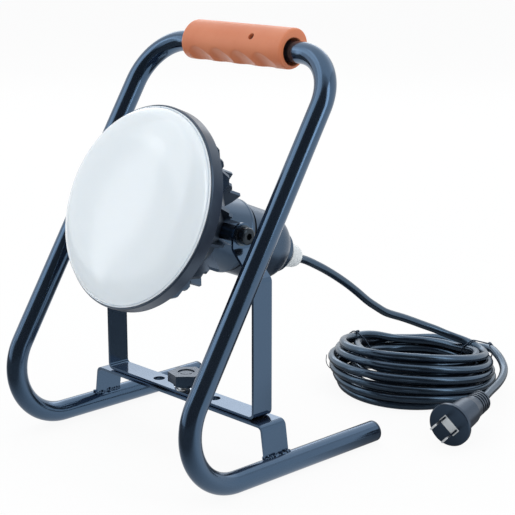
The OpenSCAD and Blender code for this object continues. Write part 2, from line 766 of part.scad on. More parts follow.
// The drum's rear shoulder is an arc that starts along the wall and ends at the flat end
shoulder_h = 15;
shoulder_in = drum_r - drum_end_d / 2;
shoulder_r = (pow(shoulder_h, 2) + pow(shoulder_in, 2)) / (2 * shoulder_in);
shoulder_turn = asin(shoulder_h / shoulder_r);
spigot_r = 9;
rail_w = 5;
board_y = -3.6;
board_s1 = collar_s - 16;
board_s0 = board_s1 - board_len;
function shoulder_line(r, z, drop) = [for (i = [0:8]) let (a = shoulder_turn * i / 8)
    [r - shoulder_r + shoulder_r * cos(a), z - (shoulder_r - drop) * sin(a)]];
module rear_drum() {
    bend_s = drum_end + shoulder_h;
    outer = shoulder_line(drum_r, bend_s, 0);
    color(paint) on_lamp() difference() {
        union() {
            rotate_extrude() polygon(concat([[drum_in, drum_s], [drum_r, drum_s]], outer,
                [[spigot_r, drum_end], [spigot_r, drum_end + drum_wall],
                 [drum_end_d / 2 - drum_wall, drum_end + drum_wall], [drum_in, bend_s]]));
            on_lugs() translate([0, 0, drum_s - lug_len]) cylinder(lug_len, r = lug_r);
            both_sides() translate([board_w / 2 - 1, board_y - rail_w / 2 + board_t / 2, bend_s])
                intersection() {
                    cube([drum_r, rail_w, drum_s - lug_len - bend_s]);
                    translate([1 - board_w / 2, rail_w / 2 - board_t / 2 - board_y, 0])
                        cylinder(drum_len, r = drum_r - 0.5);
                }
        }
        translate([-board_w / 2, board_y, board_s0]) cube([board_w, board_t, board_len]);
        on_lugs() translate([0, 0, drum_s - lug_len - 1]) cylinder(lug_len + 2, r = housing_screw_r);
    }
}

module housing_screws() {
    color(steel) on_lamp() on_lugs() {
        translate([0, 0, drum_s - lug_len]) cylinder(lug_len + groove_w + lug_len - 2, r = housing_screw_r);
        translate([0, 0, drum_s - lug_len - housing_head_h]) cylinder(housing_head_h, r = housing_head_r);
    }
}

// ---------------------------------------------------------------- driver board
module driver_board() {
    color("darkgreen") on_lamp() translate([-board_w / 2, board_y, board_s0]) cube([board_w, board_t, board_len]);
}

choke = [16, 14, 18];
choke_edge = 6;
capacitor_r = 5;
capacitor_len = 13;
coil_box = [8, 9, 10];
chip_box = [6, 1.5, 5];
chip_pitch = 9;
parts_x = 9;
parts_edge = 14;
module driver_parts() {
    top = board_y + board_t;
    color("gray") on_lamp() {
        translate([-choke[0] / 2, top, board_s1 - choke_edge - choke[2]]) cube(choke);
        translate([-parts_x, top + capacitor_r, board_s0 + parts_edge]) cylinder(capacitor_len, r = capacitor_r);
        translate([parts_x - coil_box[0] / 2, top, board_s0 + parts_edge]) cube(coil_box);
        for (i = [-1:1]) translate([chip_pitch * i - chip_box[0] / 2, board_y - chip_box[1], board_s0 + parts_edge])
            cube(chip_box);
    }
}

// ---------------------------------------------------------------- cable gland
gland_r = 6.5;
gland_step = 4;
module rear_cap() {
    top = end_cap_d / 2;
    color(paint) on_lamp() rotate_extrude() polygon([[gland_r, cap_end], [top - 3.3, cap_end],
        [top - 2.3, cap_end + 1], [top - 2.3, drum_end - gland_step - 0.5], [top - 1.5, drum_end - gland_step],
        [top, drum_end - gland_step + 0.7], [top, drum_end], [spigot_r, drum_end],
        [spigot_r, drum_end + drum_wall], [gland_r, drum_end + drum_wall]]);
}

module gland_body() {
    color(black) on_lamp() rotate_extrude() polygon([[cord_r, drum_end + 4], [gland_r, drum_end + 4],
        [gland_r, cap_end], [nut_d / 2 - 1.5, cap_end], [nut_d / 2 - 1.5, nut_s + 2.5],
        [gland_r, nut_s + 2.5], [gland_r, nut_s - 4], [cord_r, nut_s - 4]]);
}

module gland_seal() {
    color("dimgray") on_lamp() translate([0, 0, nut_end + 2]) washer(gland_r, cord_r, nut_len - 6);
}

module gland_nut() {
    out = nut_d / 2;
    color(pale) on_lamp() rotate_extrude() polygon([[gland_r, nut_s], [out, nut_s], [out, nut_s - 5],
        [out - 0.8, nut_s - 6], [out - 0.8, nut_end + 3], [nut_mouth_r, nut_end],
        [cord_r, nut_end], [cord_r, nut_end + 2], [gland_r, nut_end + 2]]);
}

module cord_entry() {
    color(black) on_lamp() translate([0, 0, nut_end]) cylinder(drum_end + 4 - nut_end, r = cord_r);
}

lead_r = 0.8;
module inner_leads() {
    low = board_y + board_t + lead_r;
    color("white") on_lamp() for (x = [-1.5, 1.5]) {
        translate([x, low, drum_end + 4]) cylinder(board_s0 + 6 - drum_end - 4, r = lead_r);
        translate([x, low, board_s1 - 5]) cylinder(ring_s - board_s1 + 5, r = lead_r);
    }
}

// ---------------------------------------------------------------- cord
module cord_lead() {
    color(black) cord(lead_points, cord_r, [1, 0, 0], gland_out);
}

coil_in = coil_in_d / 2;
coil_out = coil_out_d / 2;
coil_edge = 7;
coil_peak = coil_h + 12;
coil_slope = [-8.9, -5.9, 0];
coil_outline = [[coil_in + coil_edge, 0], [coil_out - coil_edge, 0], [coil_out - coil_edge / 2, coil_edge],
    [coil_out, 2 * coil_edge], [coil_out, 4 * coil_edge], [coil_out - coil_edge, coil_h],
    [coil_out - 1.5 * coil_edge, coil_peak], [coil_in + coil_edge / 2, coil_peak],
    [coil_in, coil_h - coil_edge], [coil_in, coil_edge]];
// Everything over the coil's sloping top, raised by lift
module over_coil(lift) {
    translate([0, 0, coil_h + lift]) rotate(coil_slope) translate([-coil_out_d, -coil_out_d, 0])
        cube([2 * coil_out_d, 2 * coil_out_d, coil_out_d]);
}
module coil_ring() {
    difference() {
        rotate_extrude() polygon(coil_outline);
        over_coil(0);
    }
}
module cord_coil() {
    color(black) translate([coil_x, coil_y, 0]) coil_ring();
}

module cord_tail() {
    color(black) cord(concat(tail_points, [plug_face - plug_out * plug_len]), cord_r, [0, 0, 1],
        unit(tail_points[1] - tail_points[0]));
}

tie_t = 1.2;
tie_turn = 1.6;
tie_at = [72, 172];
module cord_ties() {
    mid = [(coil_in + coil_out) / 2, coil_h / 2];
    grown = [for (p = coil_outline) [p[0] + sign(p[0] - mid[0]) * tie_t, p[1]]];
    color(steel) translate([coil_x, coil_y, 0]) difference() {
        for (a = tie_at) rotate([0, 0, a]) rotate_extrude(angle = tie_turn) polygon(grown);
        over_coil(tie_t);
        coil_ring();
    }
}

// ---------------------------------------------------------------- plug
// The plug's Z axis points out of its face, along its blades
plug_out = [sin(plug_turn) * cos(plug_lift), -cos(plug_turn) * cos(plug_lift), sin(plug_lift)];
module on_plug() {
    translate(plug_face) rotate([0, 0, plug_turn]) rotate([90 - plug_lift, 0, 0]) rotate([0, 0, plug_roll])
        children();
}

insert_w = 16;
insert_h = 7.6;
insert_t = 3;
plug_rib_n = 5;
rib_pitch = 3.2;
flange_h = 4;
neck_r = 11.2;
module plug_body() {
    relief = plug_len - 20;
    color(black) on_plug() difference() {
        rotate_extrude() polygon(concat([[0, 0], [plug_d / 2 - 0.6, 0],
            [plug_d / 2, -0.6], [plug_d / 2, -flange_h + 0.8], [plug_d / 2 - 0.8, -flange_h],
            [neck_r + 1.5, -flange_h - 1.5], [neck_r, -relief + 8], [neck_r - 1.2, -relief + 3]],
            [for (i = [0:plug_rib_n - 1], q = [[9.4, 0], [9.2, -1.9], [7.4, -2.1], [7.4, -3.1]])
                [q[0] - 0.12 * i, q[1] - relief - i * rib_pitch]],
            [[6, -plug_len + 2], [cord_r + 0.8, -plug_len], [0, -plug_len]]));
        translate([0, 0, -insert_t / 2]) cube([insert_w, insert_h, insert_t + 0.001], center = true);
    }
}

blade_w = 6.3;
blade_t = 1.5;
blade_root = 1.6;
module blade_slots(extra) {
    for (s = [-1, 1]) translate([s * blade_pitch / 2, 0, extra])
        cube([blade_t, blade_w, insert_t], center = true);
}

module plug_insert() {
    color(pale) on_plug() difference() {
        translate([0, 0, -insert_t / 2]) cube([insert_w, insert_h, insert_t], center = true);
        blade_slots(insert_t / 2 - blade_root);
    }
}

module plug_blades() {
    color(steel) on_plug() for (s = [-1, 1]) translate([s * blade_pitch / 2, 0, (blade_len - blade_root) / 2])
        cube([blade_t, blade_w, blade_len + blade_root], center = true);
}

stand_tube();
runner_caps();
handle_grip();
grip_screw();
crossbar();
weld_beads();
pan_bolt();
friction_disc();
yoke();
pan_washer();
pan_spring_washer();
pan_knob();
knob_cap();
knob_nut();
heat_sink();
tilt_bolts();
tilt_washers();
tilt_discs();
front_ring();
lens();
lens_gasket();
led_board();
led_chips();
board_screws();
driver_collar();
driver_board();
driver_parts();
housing_seal();
rear_drum();
housing_screws();
rear_cap();
gland_body();
gland_seal();
gland_nut();
cord_entry();
inner_leads();
cord_lead();
cord_coil();
cord_tail();
cord_ties();
plug_body();
plug_insert();
plug_blades();
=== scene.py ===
"""A tilting lamp on a floor stand: finishes, tube, grip, welds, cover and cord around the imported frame."""

import logging
import math
from dataclasses import dataclass, field
from enum import Enum

import bpy
import numpy as np
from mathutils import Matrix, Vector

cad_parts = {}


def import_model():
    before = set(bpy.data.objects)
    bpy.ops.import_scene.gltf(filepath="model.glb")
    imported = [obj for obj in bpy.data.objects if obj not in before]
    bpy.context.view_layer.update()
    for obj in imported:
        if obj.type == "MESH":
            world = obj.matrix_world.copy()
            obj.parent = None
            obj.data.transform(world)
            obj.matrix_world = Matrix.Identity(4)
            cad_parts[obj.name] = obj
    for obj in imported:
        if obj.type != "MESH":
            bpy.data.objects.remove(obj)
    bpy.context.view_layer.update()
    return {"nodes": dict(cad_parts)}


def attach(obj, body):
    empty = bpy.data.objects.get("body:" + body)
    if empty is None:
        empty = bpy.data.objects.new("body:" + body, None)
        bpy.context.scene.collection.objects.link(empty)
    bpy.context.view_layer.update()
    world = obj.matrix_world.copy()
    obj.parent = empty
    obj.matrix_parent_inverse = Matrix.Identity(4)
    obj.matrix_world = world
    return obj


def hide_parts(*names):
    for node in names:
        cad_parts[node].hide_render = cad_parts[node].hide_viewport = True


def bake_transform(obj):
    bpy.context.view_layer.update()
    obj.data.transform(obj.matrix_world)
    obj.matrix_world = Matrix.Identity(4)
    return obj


LOG = logging.getLogger("work_lamp")
MM = 0.001
CREASE = 40.0  # degrees: a sharper edge isn't smoothed
UV_NAME = "along_and_round"
U_LENGTH = 0.05  # metres of tube or cord to one unit of U
ACROSS, BACK, UP = np.eye(3)
Array = np.ndarray
Piece = bpy.types.Object
Material = bpy.types.Material
Node = bpy.types.Node
Socket = bpy.types.NodeSocket
Tree = bpy.types.NodeTree
Pair = tuple[float, float]
Tone = tuple[float, float, float]
Place = tuple[float, float, float]


class Body(str, Enum):
    """The bodies that the new pieces ride on."""

    STAND = "stand"
    SWIVEL = "swivel"
    HEAD = "head"


class Slot(str, Enum):
    """The finish slots named with the new pieces."""

    PAINT = "paint"
    GRIP = "grip"
    STEEL = "steel"
    DIFFUSER = "diffuser"
    CORD = "cord"


# ---- vectors and paths


def unit(v: Array) -> Array:
    """The vectors at length 1, along the last axis."""
    return v / np.maximum(np.linalg.norm(v, axis=-1, keepdims=True), 1e-12)


def tangents(path: Array) -> Array:
    """The direction of an open path at each point: the chord between its two neighbours, at length 1."""
    return unit(np.gradient(path, axis=0))


def smooth_path(knots: Array, step: float) -> Array:
    """An open curve through the knots, at an even step.

    Each span is a Catmull-Rom cubic, 0.5*(2b + (c-a)t + (2a-5b+4c-d)t^2 + (3b-a-3c+d)t^3), and the points are
    then spread evenly by arc length.

    Args:
        knots: the points it runs through, one row each.
        step: the distance between the points that come back.

    Returns:
        The points, with the first and last knot at the ends.
    """
    points_in_span = 24
    padded = np.vstack([2 * knots[0] - knots[1], knots, 2 * knots[-1] - knots[-2]])
    a, b, c, d = padded[:-3, None], padded[1:-2, None], padded[2:-1, None], padded[3:, None]
    t = np.linspace(0, 1, points_in_span, endpoint=False)[None, :, None]
    spans = 0.5 * (2 * b + (c - a) * t + (2 * a - 5 * b + 4 * c - d) * t**2 + (3 * b - a - 3 * c + d) * t**3)
    return evenly(np.vstack([spans.reshape(-1, knots.shape[1]), knots[-1:]]), step)


def evenly(line: Array, step: float) -> Array:
    """The line's points spread evenly by arc length, about that step apart."""
    far = np.concatenate([[0], np.cumsum(np.linalg.norm(np.diff(line, axis=0), axis=1))])
    at = np.linspace(0, far[-1], max(2, int(round(far[-1] / step)) + 1))
    return np.stack([np.interp(at, far, line[:, k]) for k in range(line.shape[1])], axis=1)


def length_of(line: Array) -> float:
    """The line's length."""
    return float(np.linalg.norm(np.diff(line, axis=0), axis=1).sum())


# ---- meshes


def quads(rows: int, cols: int) -> Array:
    """The four corners of each cell of a grid of rows by cols points, its last column joined to its first."""
    i, k = np.meshgrid(np.arange(rows - 1), np.arange(cols), indexing="ij")
    j = (k + 1) % cols
    return np.stack([i * cols + k, i * cols + j, (i + 1) * cols + j, (i + 1) * cols + k], axis=-1).reshape(-1, 4)


def grid_uv(rows: int, cols: int, long: float) -> Array:
    """The UV of each corner of each cell: along the rows up to long, and once round the columns."""
    i, k = np.meshgrid(np.arange(rows - 1), np.arange(cols), indexing="ij")
    u0, u1 = i / (rows - 1) * long, (i + 1) / (rows - 1) * long
    v0, v1 = k / cols, (k + 1) / cols
    return np.stack([u0, v0, u0, v1, u1, v1, u1, v0], axis=-1).reshape(-1, 4, 2)


def shade(mesh: bpy.types.Mesh, crease: float = CREASE) -> None:
    """Smooths the mesh, apart from edges sharper than the crease angle."""
    mesh.shade_smooth()
    mesh.set_sharp_from_angle(angle=math.radians(crease))


def put(name: str, data: bpy.types.ID) -> Piece:
    """A new object in the scene that holds the data."""
    thing = bpy.data.objects.new(name, data)
    bpy.context.scene.collection.objects.link(thing)
    return thing


def new_piece(name: str, points: Array, faces: list, finish: Material, crease: float = CREASE) -> Piece:
    """A mesh object at the origin, smooth apart from edges sharper than the crease angle.

    Args:
        name: the piece's name.
        points: its vertices in metres.
        faces: lists of vertex numbers.
        finish: its material.
        crease: the angle in degrees past which an edge stays sharp.

    Returns:
        The new object.
    """
    mesh = bpy.data.meshes.new(name)
    mesh.from_pydata(points.tolist(), [], faces)
    mesh.materials.append(finish)
    mesh.update()
    shade(mesh, crease)
    return put(name, mesh)


def skin(
    name: str, rings: Array, finish: Material, long: float = 1.0, crease: float = CREASE, loop: bool = False,
) -> Piece:
    """A closed skin over rings of points: the surface (i, k) -> rings[i, k], with a fan of triangles at each end.

    Args:
        name: the piece's name.
        rings: an array of rings by points by 3; each ring runs round the same way.
        finish: its material.
        long: the U value at the last ring.
        crease: the angle past which an edge stays sharp.
        loop: true where the last ring joins the first.

    Returns:
        The new object, with a UV map that runs along and round it.
    """
    n, m = rings.shape[:2]
    points, faces = rings.reshape(-1, 3), (quads(n + loop, m) % (n * m)).tolist()
    if not loop:
        points = np.concatenate([points, rings[:1].mean(1), rings[-1:].mean(1)])
        k = np.arange(m)
        first = np.stack([np.full(m, n * m), (k + 1) % m, k], axis=-1)
        last = np.stack([np.full(m, n * m + 1), (n - 1) * m + k, (n - 1) * m + (k + 1) % m], axis=-1)
        faces += first.tolist() + last.tolist()
    piece = new_piece(name, points, faces, finish, crease)
    set_uv(piece, grid_uv(n + loop, m, long))
    return piece


def set_uv(piece: Piece, cells: Array) -> None:
    """Writes the UV of the grid's cells; the faces after them, at the ends, keep zero."""
    layer = piece.data.uv_layers.new(name=UV_NAME)
    flat = np.zeros(len(piece.data.loops) * 2, np.float32)
    flat[: cells.size] = cells.reshape(-1)
    layer.data.foreach_set("uv", flat)


def tube_rings(path: Array, side: Array, radius: Array | float, sides: int) -> Array:
    """Rings round a path: centre + r*(cos(a)*s + sin(a)*(t x s)), with s the side vector set square to the tangent t.

    Args:
        path: the centres.
        side: a vector, or one for each centre, that is never along the path.
        radius: one radius, or one for each centre.
        sides: the points in each ring.

    Returns:
        An array of rings by sides by 3.
    """
    t = tangents(path)
    across = unit(np.cross(t, np.broadcast_to(side, path.shape)))
    s = np.cross(across, t)
    a = np.linspace(0, 2 * math.pi, sides, endpoint=False)[None, :, None]
    r = np.broadcast_to(radius, (len(path),))[:, None, None]
    return path[:, None] + r * (np.cos(a) * s[:, None] + np.sin(a) * across[:, None])


def merged(name: str, pieces: list[Piece]) -> Piece:
    """The pieces as one object under that name."""
    with bpy.context.temp_override(active_object=pieces[0], selected_editable_objects=pieces):
        bpy.ops.object.join()
    pieces[0].name = pieces[0].data.name = name
    return pieces[0]


def mount(piece: Piece, body: Body, slot: Slot, *nodes: str) -> Piece:
    """Sets the piece on its body and hides the nodes that it stands for.

    Args:
        piece: the finished piece.
        body: the body that carries it.
        slot: the slot for its finish; not used.
        nodes: the CAD nodes that it replaces.

    Returns:
        The same piece.
    """
    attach(piece, body.value)
    if nodes:
        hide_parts(*nodes)
    LOG.info("%s rides on %s, %d points", piece.name, body.value, len(piece.data.vertices))
    return piece


# ---- shader nodes


class Graph:
    """Short ways to add and join nodes in one tree."""

    def __init__(self, tree: Tree) -> None:
        """Keeps the tree."""
        self.tree = tree

    def wire(self, node: Node, inputs: dict) -> None:
        """Gives the node's inputs, by name or number, a value each or a socket to join."""
        for name, value in inputs.items():
            if isinstance(value, Socket):
                self.tree.links.new(value, node.inputs[name])
            else:
                node.inputs[name].default_value = value

    def add(self, kind: str, inputs: dict | None = None, **settings: object) -> Node:
        """A new node.

        Args:
            kind: its type, without the words that all shader nodes start with.
            inputs: values, or sockets to join, by the input's name or number.
            settings: its own settings.

        Returns:
            The node.
        """
        node = self.tree.nodes.new("ShaderNode" + kind)
        for name, value in settings.items():
            setattr(node, name, value)
        self.wire(node, inputs or {})
        return node

    def math(self, operation: str, a: object, b: object, clamp: bool = False) -> Socket:
        """The result of one sum on two values or sockets."""
        return self.add("Math", {0: a, 1: b}, operation=operation, use_clamp=clamp).outputs[0]

    def spread(self, value: Socket, low: object, high: object, to_low: float = 0.0, to_high: float = 1.0) -> Socket:
        """The value carried smoothly from one span to another."""
        spans = {"Value": value, "From Min": low, "From Max": high, "To Min": to_low, "To Max": to_high}
        return self.add("MapRange", spans, interpolation_type="SMOOTHSTEP").outputs["Result"]

    def blend(self, share: Socket, a: object, b: object) -> Socket:
        """Colour a, going to colour b as the share goes to 1."""
        return self.add("Mix", {0: share, 6: a, 7: b}, data_type="RGBA").outputs[2]

    def here(self) -> Socket:
        """The point in the piece's own coordinates."""
        return self.add("TexCoord").outputs["Object"]

    def axis(self, vector: Socket, name: str) -> Socket:
        """One axis of a vector."""
        return self.add("SeparateXYZ", {0: vector}).outputs[name]

    def noise(self, place: Socket, scale: object, detail: float, roughness: float = 0.5) -> Socket:
        """Noise from 0 to 1."""
        sizes = {"Vector": place, "Scale": scale, "Detail": detail, "Roughness": roughness}
        return self.add("TexNoise", sizes).outputs["Fac"]

    def bump(self, height: Socket, distance: float) -> Socket:
        """The normal of a surface raised by the height, times the distance in metres."""
        return self.add("Bump", {"Height": height, "Distance": distance, "Strength": 1.0}).outputs[0]

    def group(self, tree: Tree, **values: float) -> Socket:
        """What a shared group gives for these values."""
        return self.add("Group", values, node_tree=tree).outputs[0]


def empty_graph(owner: Material | bpy.types.World) -> Graph:
    """The emptied node tree of a material or world."""
    owner.use_nodes = True
    owner.node_tree.nodes.clear()
    return Graph(owner.node_tree)


def new_group(name: str, output: str, **inputs: float) -> tuple[Graph, bpy.types.NodeOutputs, Node]:
    """An empty shader group with number sockets: its graph, what comes into it by name, and its end node."""
    tree, kind = bpy.data.node_groups.new(name, "ShaderNodeTree"), "NodeSocketFloat"
    for label, value in inputs.items():
        tree.interface.new_socket(label, in_out="INPUT", socket_type=kind).default_value = value
    tree.interface.new_socket(output, in_out="OUTPUT", socket_type=kind)
    return Graph(tree), tree.nodes.new("NodeGroupInput").outputs, tree.nodes.new("NodeGroupOutput")


def grain_group() -> Tree:
    """Fine moulded or sprayed grain: two sizes of noise added, the second the larger, as a height."""
    g, given, end = new_group("surface_grain", "Height", Scale=900.0, Coarse=0.3)
    place = g.here()
    fine = g.noise(place, given["Scale"], 2.0)
    wide = g.noise(place, g.math("MULTIPLY", given["Scale"], 0.17), 2.0)
    g.wire(end, {"Height": g.math("ADD", fine, g.math("MULTIPLY", wide, given["Coarse"]))})
    return g.tree


def drift_group() -> Tree:
    """Slow unevenness over a whole piece: soft noise pulled to a mask from 0 to 1."""
    g, given, end = new_group("tone_drift", "Mask", Scale=18.0, Soft=0.2)
    noise = g.noise(g.here(), given["Scale"], 5.0, 0.6)
    low, high = (g.math(way, 0.5, given["Soft"]) for way in ("SUBTRACT", "ADD"))
    g.wire(end, {"Mask": g.spread(noise, low, high)})
    return g.tree


def dust_group() -> Tree:
    """Dust that has settled on what faces up: the piece's own normal, broken by noise, times the amount."""
    g, given, end = new_group("settled_dust", "Mask", Amount=0.2)
    up = g.axis(g.add("TexCoord").outputs["Normal"], "Z")
    patch = g.math("MULTIPLY", g.spread(up, 0.2, 0.95), g.spread(g.noise(g.here(), 160.0, 6.0, 0.7), 0.4, 0.75))
    g.wire(end, {"Mask": g.math("MULTIPLY", patch, given["Amount"])})
    return g.tree


def scuff_group() -> Tree:
    """Fine handling marks: noise stretched along one line, kept only where it peaks, as a mask from 0 to 1."""
    g, given, end = new_group("handling_marks", "Mask", Scale=60.0, Amount=0.5)
    turned = g.add("Mapping", {"Vector": g.here(), "Rotation": (0.5, 0.9, 0.3), "Scale": (1.0, 9.0, 1.0)})
    peaks = g.spread(g.noise(turned.outputs[0], given["Scale"], 8.0, 0.65), 0.56, 0.72)
    g.wire(end, {"Mask": g.math("MULTIPLY", peaks, given["Amount"])})
    return g.tree


@dataclass(frozen=True)
class Finish:
    """One finish of the lamp, as the numbers that its shader takes.

    The colour goes from tone to tone_far with slow drift, dust lies on what faces up, handling marks change the
    roughness, and grain raises the surface by grain_height metres.
    """

    name: str
    tone: Tone
    tone_far: Tone
    roughness: float
    drift_scale: float = 18.0
    rough_swing: float = 0.08
    metallic: float = 0.0
    coat: float = 0.0
    coat_roughness: float = 0.1
    ior: float = 1.5
    tint: Tone = (1.0, 1.0, 1.0)
    grain: float = 900.0
    coarse: float = 0.3
    grain_height: float = 2e-5
    dust: float = 0.1
    marks: float = 0.3
    soft_light: float = 0.0
    glow_reach: Tone = (1.0, 1.0, 1.0)
    glow_depth: float = 0.003


DUST = (0.42, 0.43, 0.44, 1.0)
DUST_ROUGHENS = 0.35

FINISHES = (
    Finish("gloss_enamel", (0.0048, 0.006, 0.009), (0.0075, 0.0095, 0.014), 0.15, rough_swing=0.04, ior=2.4,
           tint=(0.36, 0.62, 1.0), grain=420.0, coarse=0.9, grain_height=1.2e-5, dust=0.02, marks=0.25),
    Finish("weld_enamel", (0.0048, 0.006, 0.009), (0.008, 0.01, 0.0145), 0.24, ior=2.3, tint=(0.36, 0.62, 1.0),
           grain=300.0, coarse=1.2, grain_height=8e-5, dust=0.04),
    Finish("cast_enamel", (0.01, 0.013, 0.019), (0.015, 0.02, 0.029), 0.3, ior=2.1, tint=(0.38, 0.64, 1.0),
           grain=700.0, coarse=0.7, grain_height=3e-5, dust=0.012),
    Finish("ring_enamel", (0.011, 0.0135, 0.023), (0.015, 0.019, 0.031), 0.33, ior=1.8, tint=(0.5, 0.72, 1.0),
           grain=700.0, coarse=0.6, grain_height=3e-5, dust=0.02),
    Finish("orange_grip", (0.7, 0.232, 0.108), (0.64, 0.19, 0.082), 0.42, grain=1300.0, coarse=0.5,
           grain_height=4e-5, dust=0.01, marks=0.4, soft_light=0.06, glow_reach=(1.0, 0.35, 0.15)),
    Finish("bright_zinc", (0.7, 0.73, 0.76), (0.62, 0.66, 0.7), 0.17, metallic=1.0, grain=1500.0,
           grain_height=1e-5, dust=0.0, marks=0.6),
    Finish("plain_steel", (0.46, 0.48, 0.5), (0.36, 0.38, 0.41), 0.33, metallic=1.0, grain_height=3e-5,
           dust=0.02, marks=0.8),
    Finish("moulded_black", (0.0075, 0.009, 0.013), (0.012, 0.0145, 0.0195), 0.34, ior=1.8, tint=(0.36, 0.62, 1.0),
           grain=1600.0, coarse=0.4, grain_height=4e-5, dust=0.01),
    Finish("black_oxide", (0.009, 0.0105, 0.014), (0.016, 0.018, 0.0225), 0.25, ior=2.0, tint=(0.6, 0.8, 1.0),
           dust=0.02, marks=0.5),
    Finish("dark_screw", (0.004, 0.0045, 0.006), (0.008, 0.0088, 0.011), 0.22, tint=(0.6, 0.8, 1.0), dust=0.0),
    Finish("milky_cover", (0.82, 0.9, 0.975), (0.835, 0.91, 0.985), 0.14, rough_swing=0.02, coat=0.3,
           coat_roughness=0.12, grain=300.0, grain_height=2e-6, dust=0.0, marks=0.0, soft_light=0.35,
           glow_reach=(0.9, 1.0, 1.15)),
    Finish("black_rubber", (0.012, 0.013, 0.015), (0.02, 0.021, 0.023), 0.55, grain=1100.0, coarse=0.6,
           grain_height=5e-5, dust=0.08),
    Finish("pale_nylon", (0.7, 0.74, 0.76), (0.76, 0.8, 0.81), 0.34, grain_height=3e-5, dust=0.02,
           soft_light=0.35),
    Finish("white_mask", (0.72, 0.74, 0.73), (0.66, 0.68, 0.67), 0.38, grain=500.0, grain_height=1e-5, dust=0.03),
    Finish("phosphor", (0.78, 0.6, 0.12), (0.86, 0.7, 0.2), 0.45, grain=2500.0, grain_height=3e-5, dust=0.0),
    Finish("green_mask", (0.012, 0.1, 0.035), (0.02, 0.13, 0.05), 0.3, grain=500.0, grain_height=1e-5, dust=0.05),
    Finish("moulded_grey", (0.045, 0.046, 0.05), (0.065, 0.066, 0.07), 0.48, grain=1400.0, grain_height=4e-5),
)


class Finishes:
    """Every material of the lamp, built once from the shared groups."""

    def __init__(self) -> None:
        """Builds the groups, then each finish, then the cord's own."""
        self.grain, self.drift = grain_group(), drift_group()
        self.dust, self.marks = dust_group(), scuff_group()
        self.made: dict[str, Material] = {f.name: self.build(f) for f in FINISHES}
        self.made["cord_sheath"] = self.sheath()

    def __getitem__(self, name: str) -> Material:
        """The material of that name."""
        return self.made[name]

    def shell(self, name: str) -> tuple[Material, Graph, Node]:
        """A new material, its graph, and its Principled shader joined to its output."""
        material = bpy.data.materials.new(name)
        g = empty_graph(material)
        shader = g.add("BsdfPrincipled")
        g.add("OutputMaterial", {"Surface": shader.outputs[0]})
        return material, g, shader

    def build(self, f: Finish) -> Material:
        """One finish as a material.

        Args:
            f: its numbers.

        Returns:
            The material: drift mixes the two tones, dust pales them, marks and drift move the roughness, and
            grain goes through a bump.
        """
        material, g, shader = self.shell(f.name)
        drift = g.group(self.drift, Scale=f.drift_scale)
        dust = g.group(self.dust, Amount=f.dust)
        grain = g.group(self.grain, Scale=f.grain, Coarse=f.coarse)
        dusty = g.math("MULTIPLY", dust, DUST_ROUGHENS)
        handled = g.math("MULTIPLY", g.math("ADD", drift, g.group(self.marks, Amount=f.marks)), f.rough_swing)
        rough = g.math("ADD", g.math("ADD", dusty, handled), f.roughness - f.rough_swing / 2, clamp=True)
        g.wire(shader, {
            "Base Color": g.blend(dust, g.blend(drift, (*f.tone, 1.0), (*f.tone_far, 1.0)), DUST),
            "Roughness": rough, "Normal": g.bump(grain, f.grain_height), "Metallic": f.metallic, "IOR": f.ior,
            "Coat Weight": f.coat, "Coat Roughness": f.coat_roughness, "Specular Tint": (*f.tint, 1.0),
            "Subsurface Weight": f.soft_light, "Subsurface Radius": f.glow_reach, "Subsurface Scale": f.glow_depth,
        })
        return material

    def sheath(self) -> Material:
        """The cord's rubber: faint rings and lengthwise streaks on its own UV, over slow drift."""
        material, g, shader = self.shell("cord_sheath")
        place = g.add("UVMap", uv_map=UV_NAME).outputs[0]
        streak = g.add("Mapping", {"Vector": place, "Scale": (14.0, 9.0, 1.0)}).outputs[0]
        lines = g.noise(streak, 1.0, 4.0)
        drift = g.group(self.drift, Scale=24.0)
        tone = g.blend(drift, (0.0045, 0.0055, 0.0085, 1.0), (0.0075, 0.0092, 0.0135, 1.0))
        g.wire(shader, {
            "Base Color": g.blend(g.group(self.dust, Amount=0.03), tone, DUST),
            "Roughness": g.spread(lines, 0.3, 0.7, 0.17, 0.27),
            "Normal": g.bump(g.math("ADD", g.group(self.grain, Scale=1500.0), lines), 3e-5),
            "IOR": 2.2, "Specular Tint": (0.42, 0.68, 1.0, 1.0),
        })
        return material


# ---- camera


@dataclass
class Viewpoint:
    """The camera: its place, its turn about the vertical, its fall below level, and its lens."""

    place: Place = (0.78645, -0.69274, 0.40286)
    azimuth: float = 46.2
    fall: float = 14.02
    lens: float = 100.48
    sensor: float = 36.0

    def build(self) -> None:
        """Makes the camera and gives it to the scene."""
        data = bpy.data.cameras.new("camera")
        data.lens, data.sensor_width = self.lens, self.sensor
        data.clip_start, data.clip_end = 0.01, 100.0
        camera = put("camera", data)
        camera.location = self.place
        camera.rotation_euler = (math.radians(90 - self.fall), 0.0, math.radians(self.azimuth))
        bpy.context.scene.camera = camera


# ---- cord


# Where each turn of the coil lies as (radius, height of the centre) in mm, at the right, front, left and back of it.
TURNS = np.array([
    [[62.5, 30], [55, 44], [58, 40], [50, 27]],
    [[55, 31], [52, 36.5], [45, 36], [57, 25]],
    [[54, 24.2], [54, 29], [41, 28], [49, 18.5]],
    [[54, 17.2], [56, 21], [48, 22], [48, 11]],
    [[53.5, 10.3], [57, 13], [49, 13], [50, 3.6]],
    [[52, 3.4], [58, 4.5], [53, 4], [57, 3.6]],
    [[58.5, 3.4], [66, 4], [61, 3.8], [64, 3.6]],
    [[65, 3.6], [68, 12], [64, 12.5], [66, 10.5]],
    [[68, 10], [67.5, 20], [65.5, 20], [58, 11]],
    [[67.5, 17], [65.5, 28.5], [67.5, 27.5], [57, 18.3]],
    [[66, 23.7], [61, 36.5], [62, 33.5], [64.5, 18]],
])


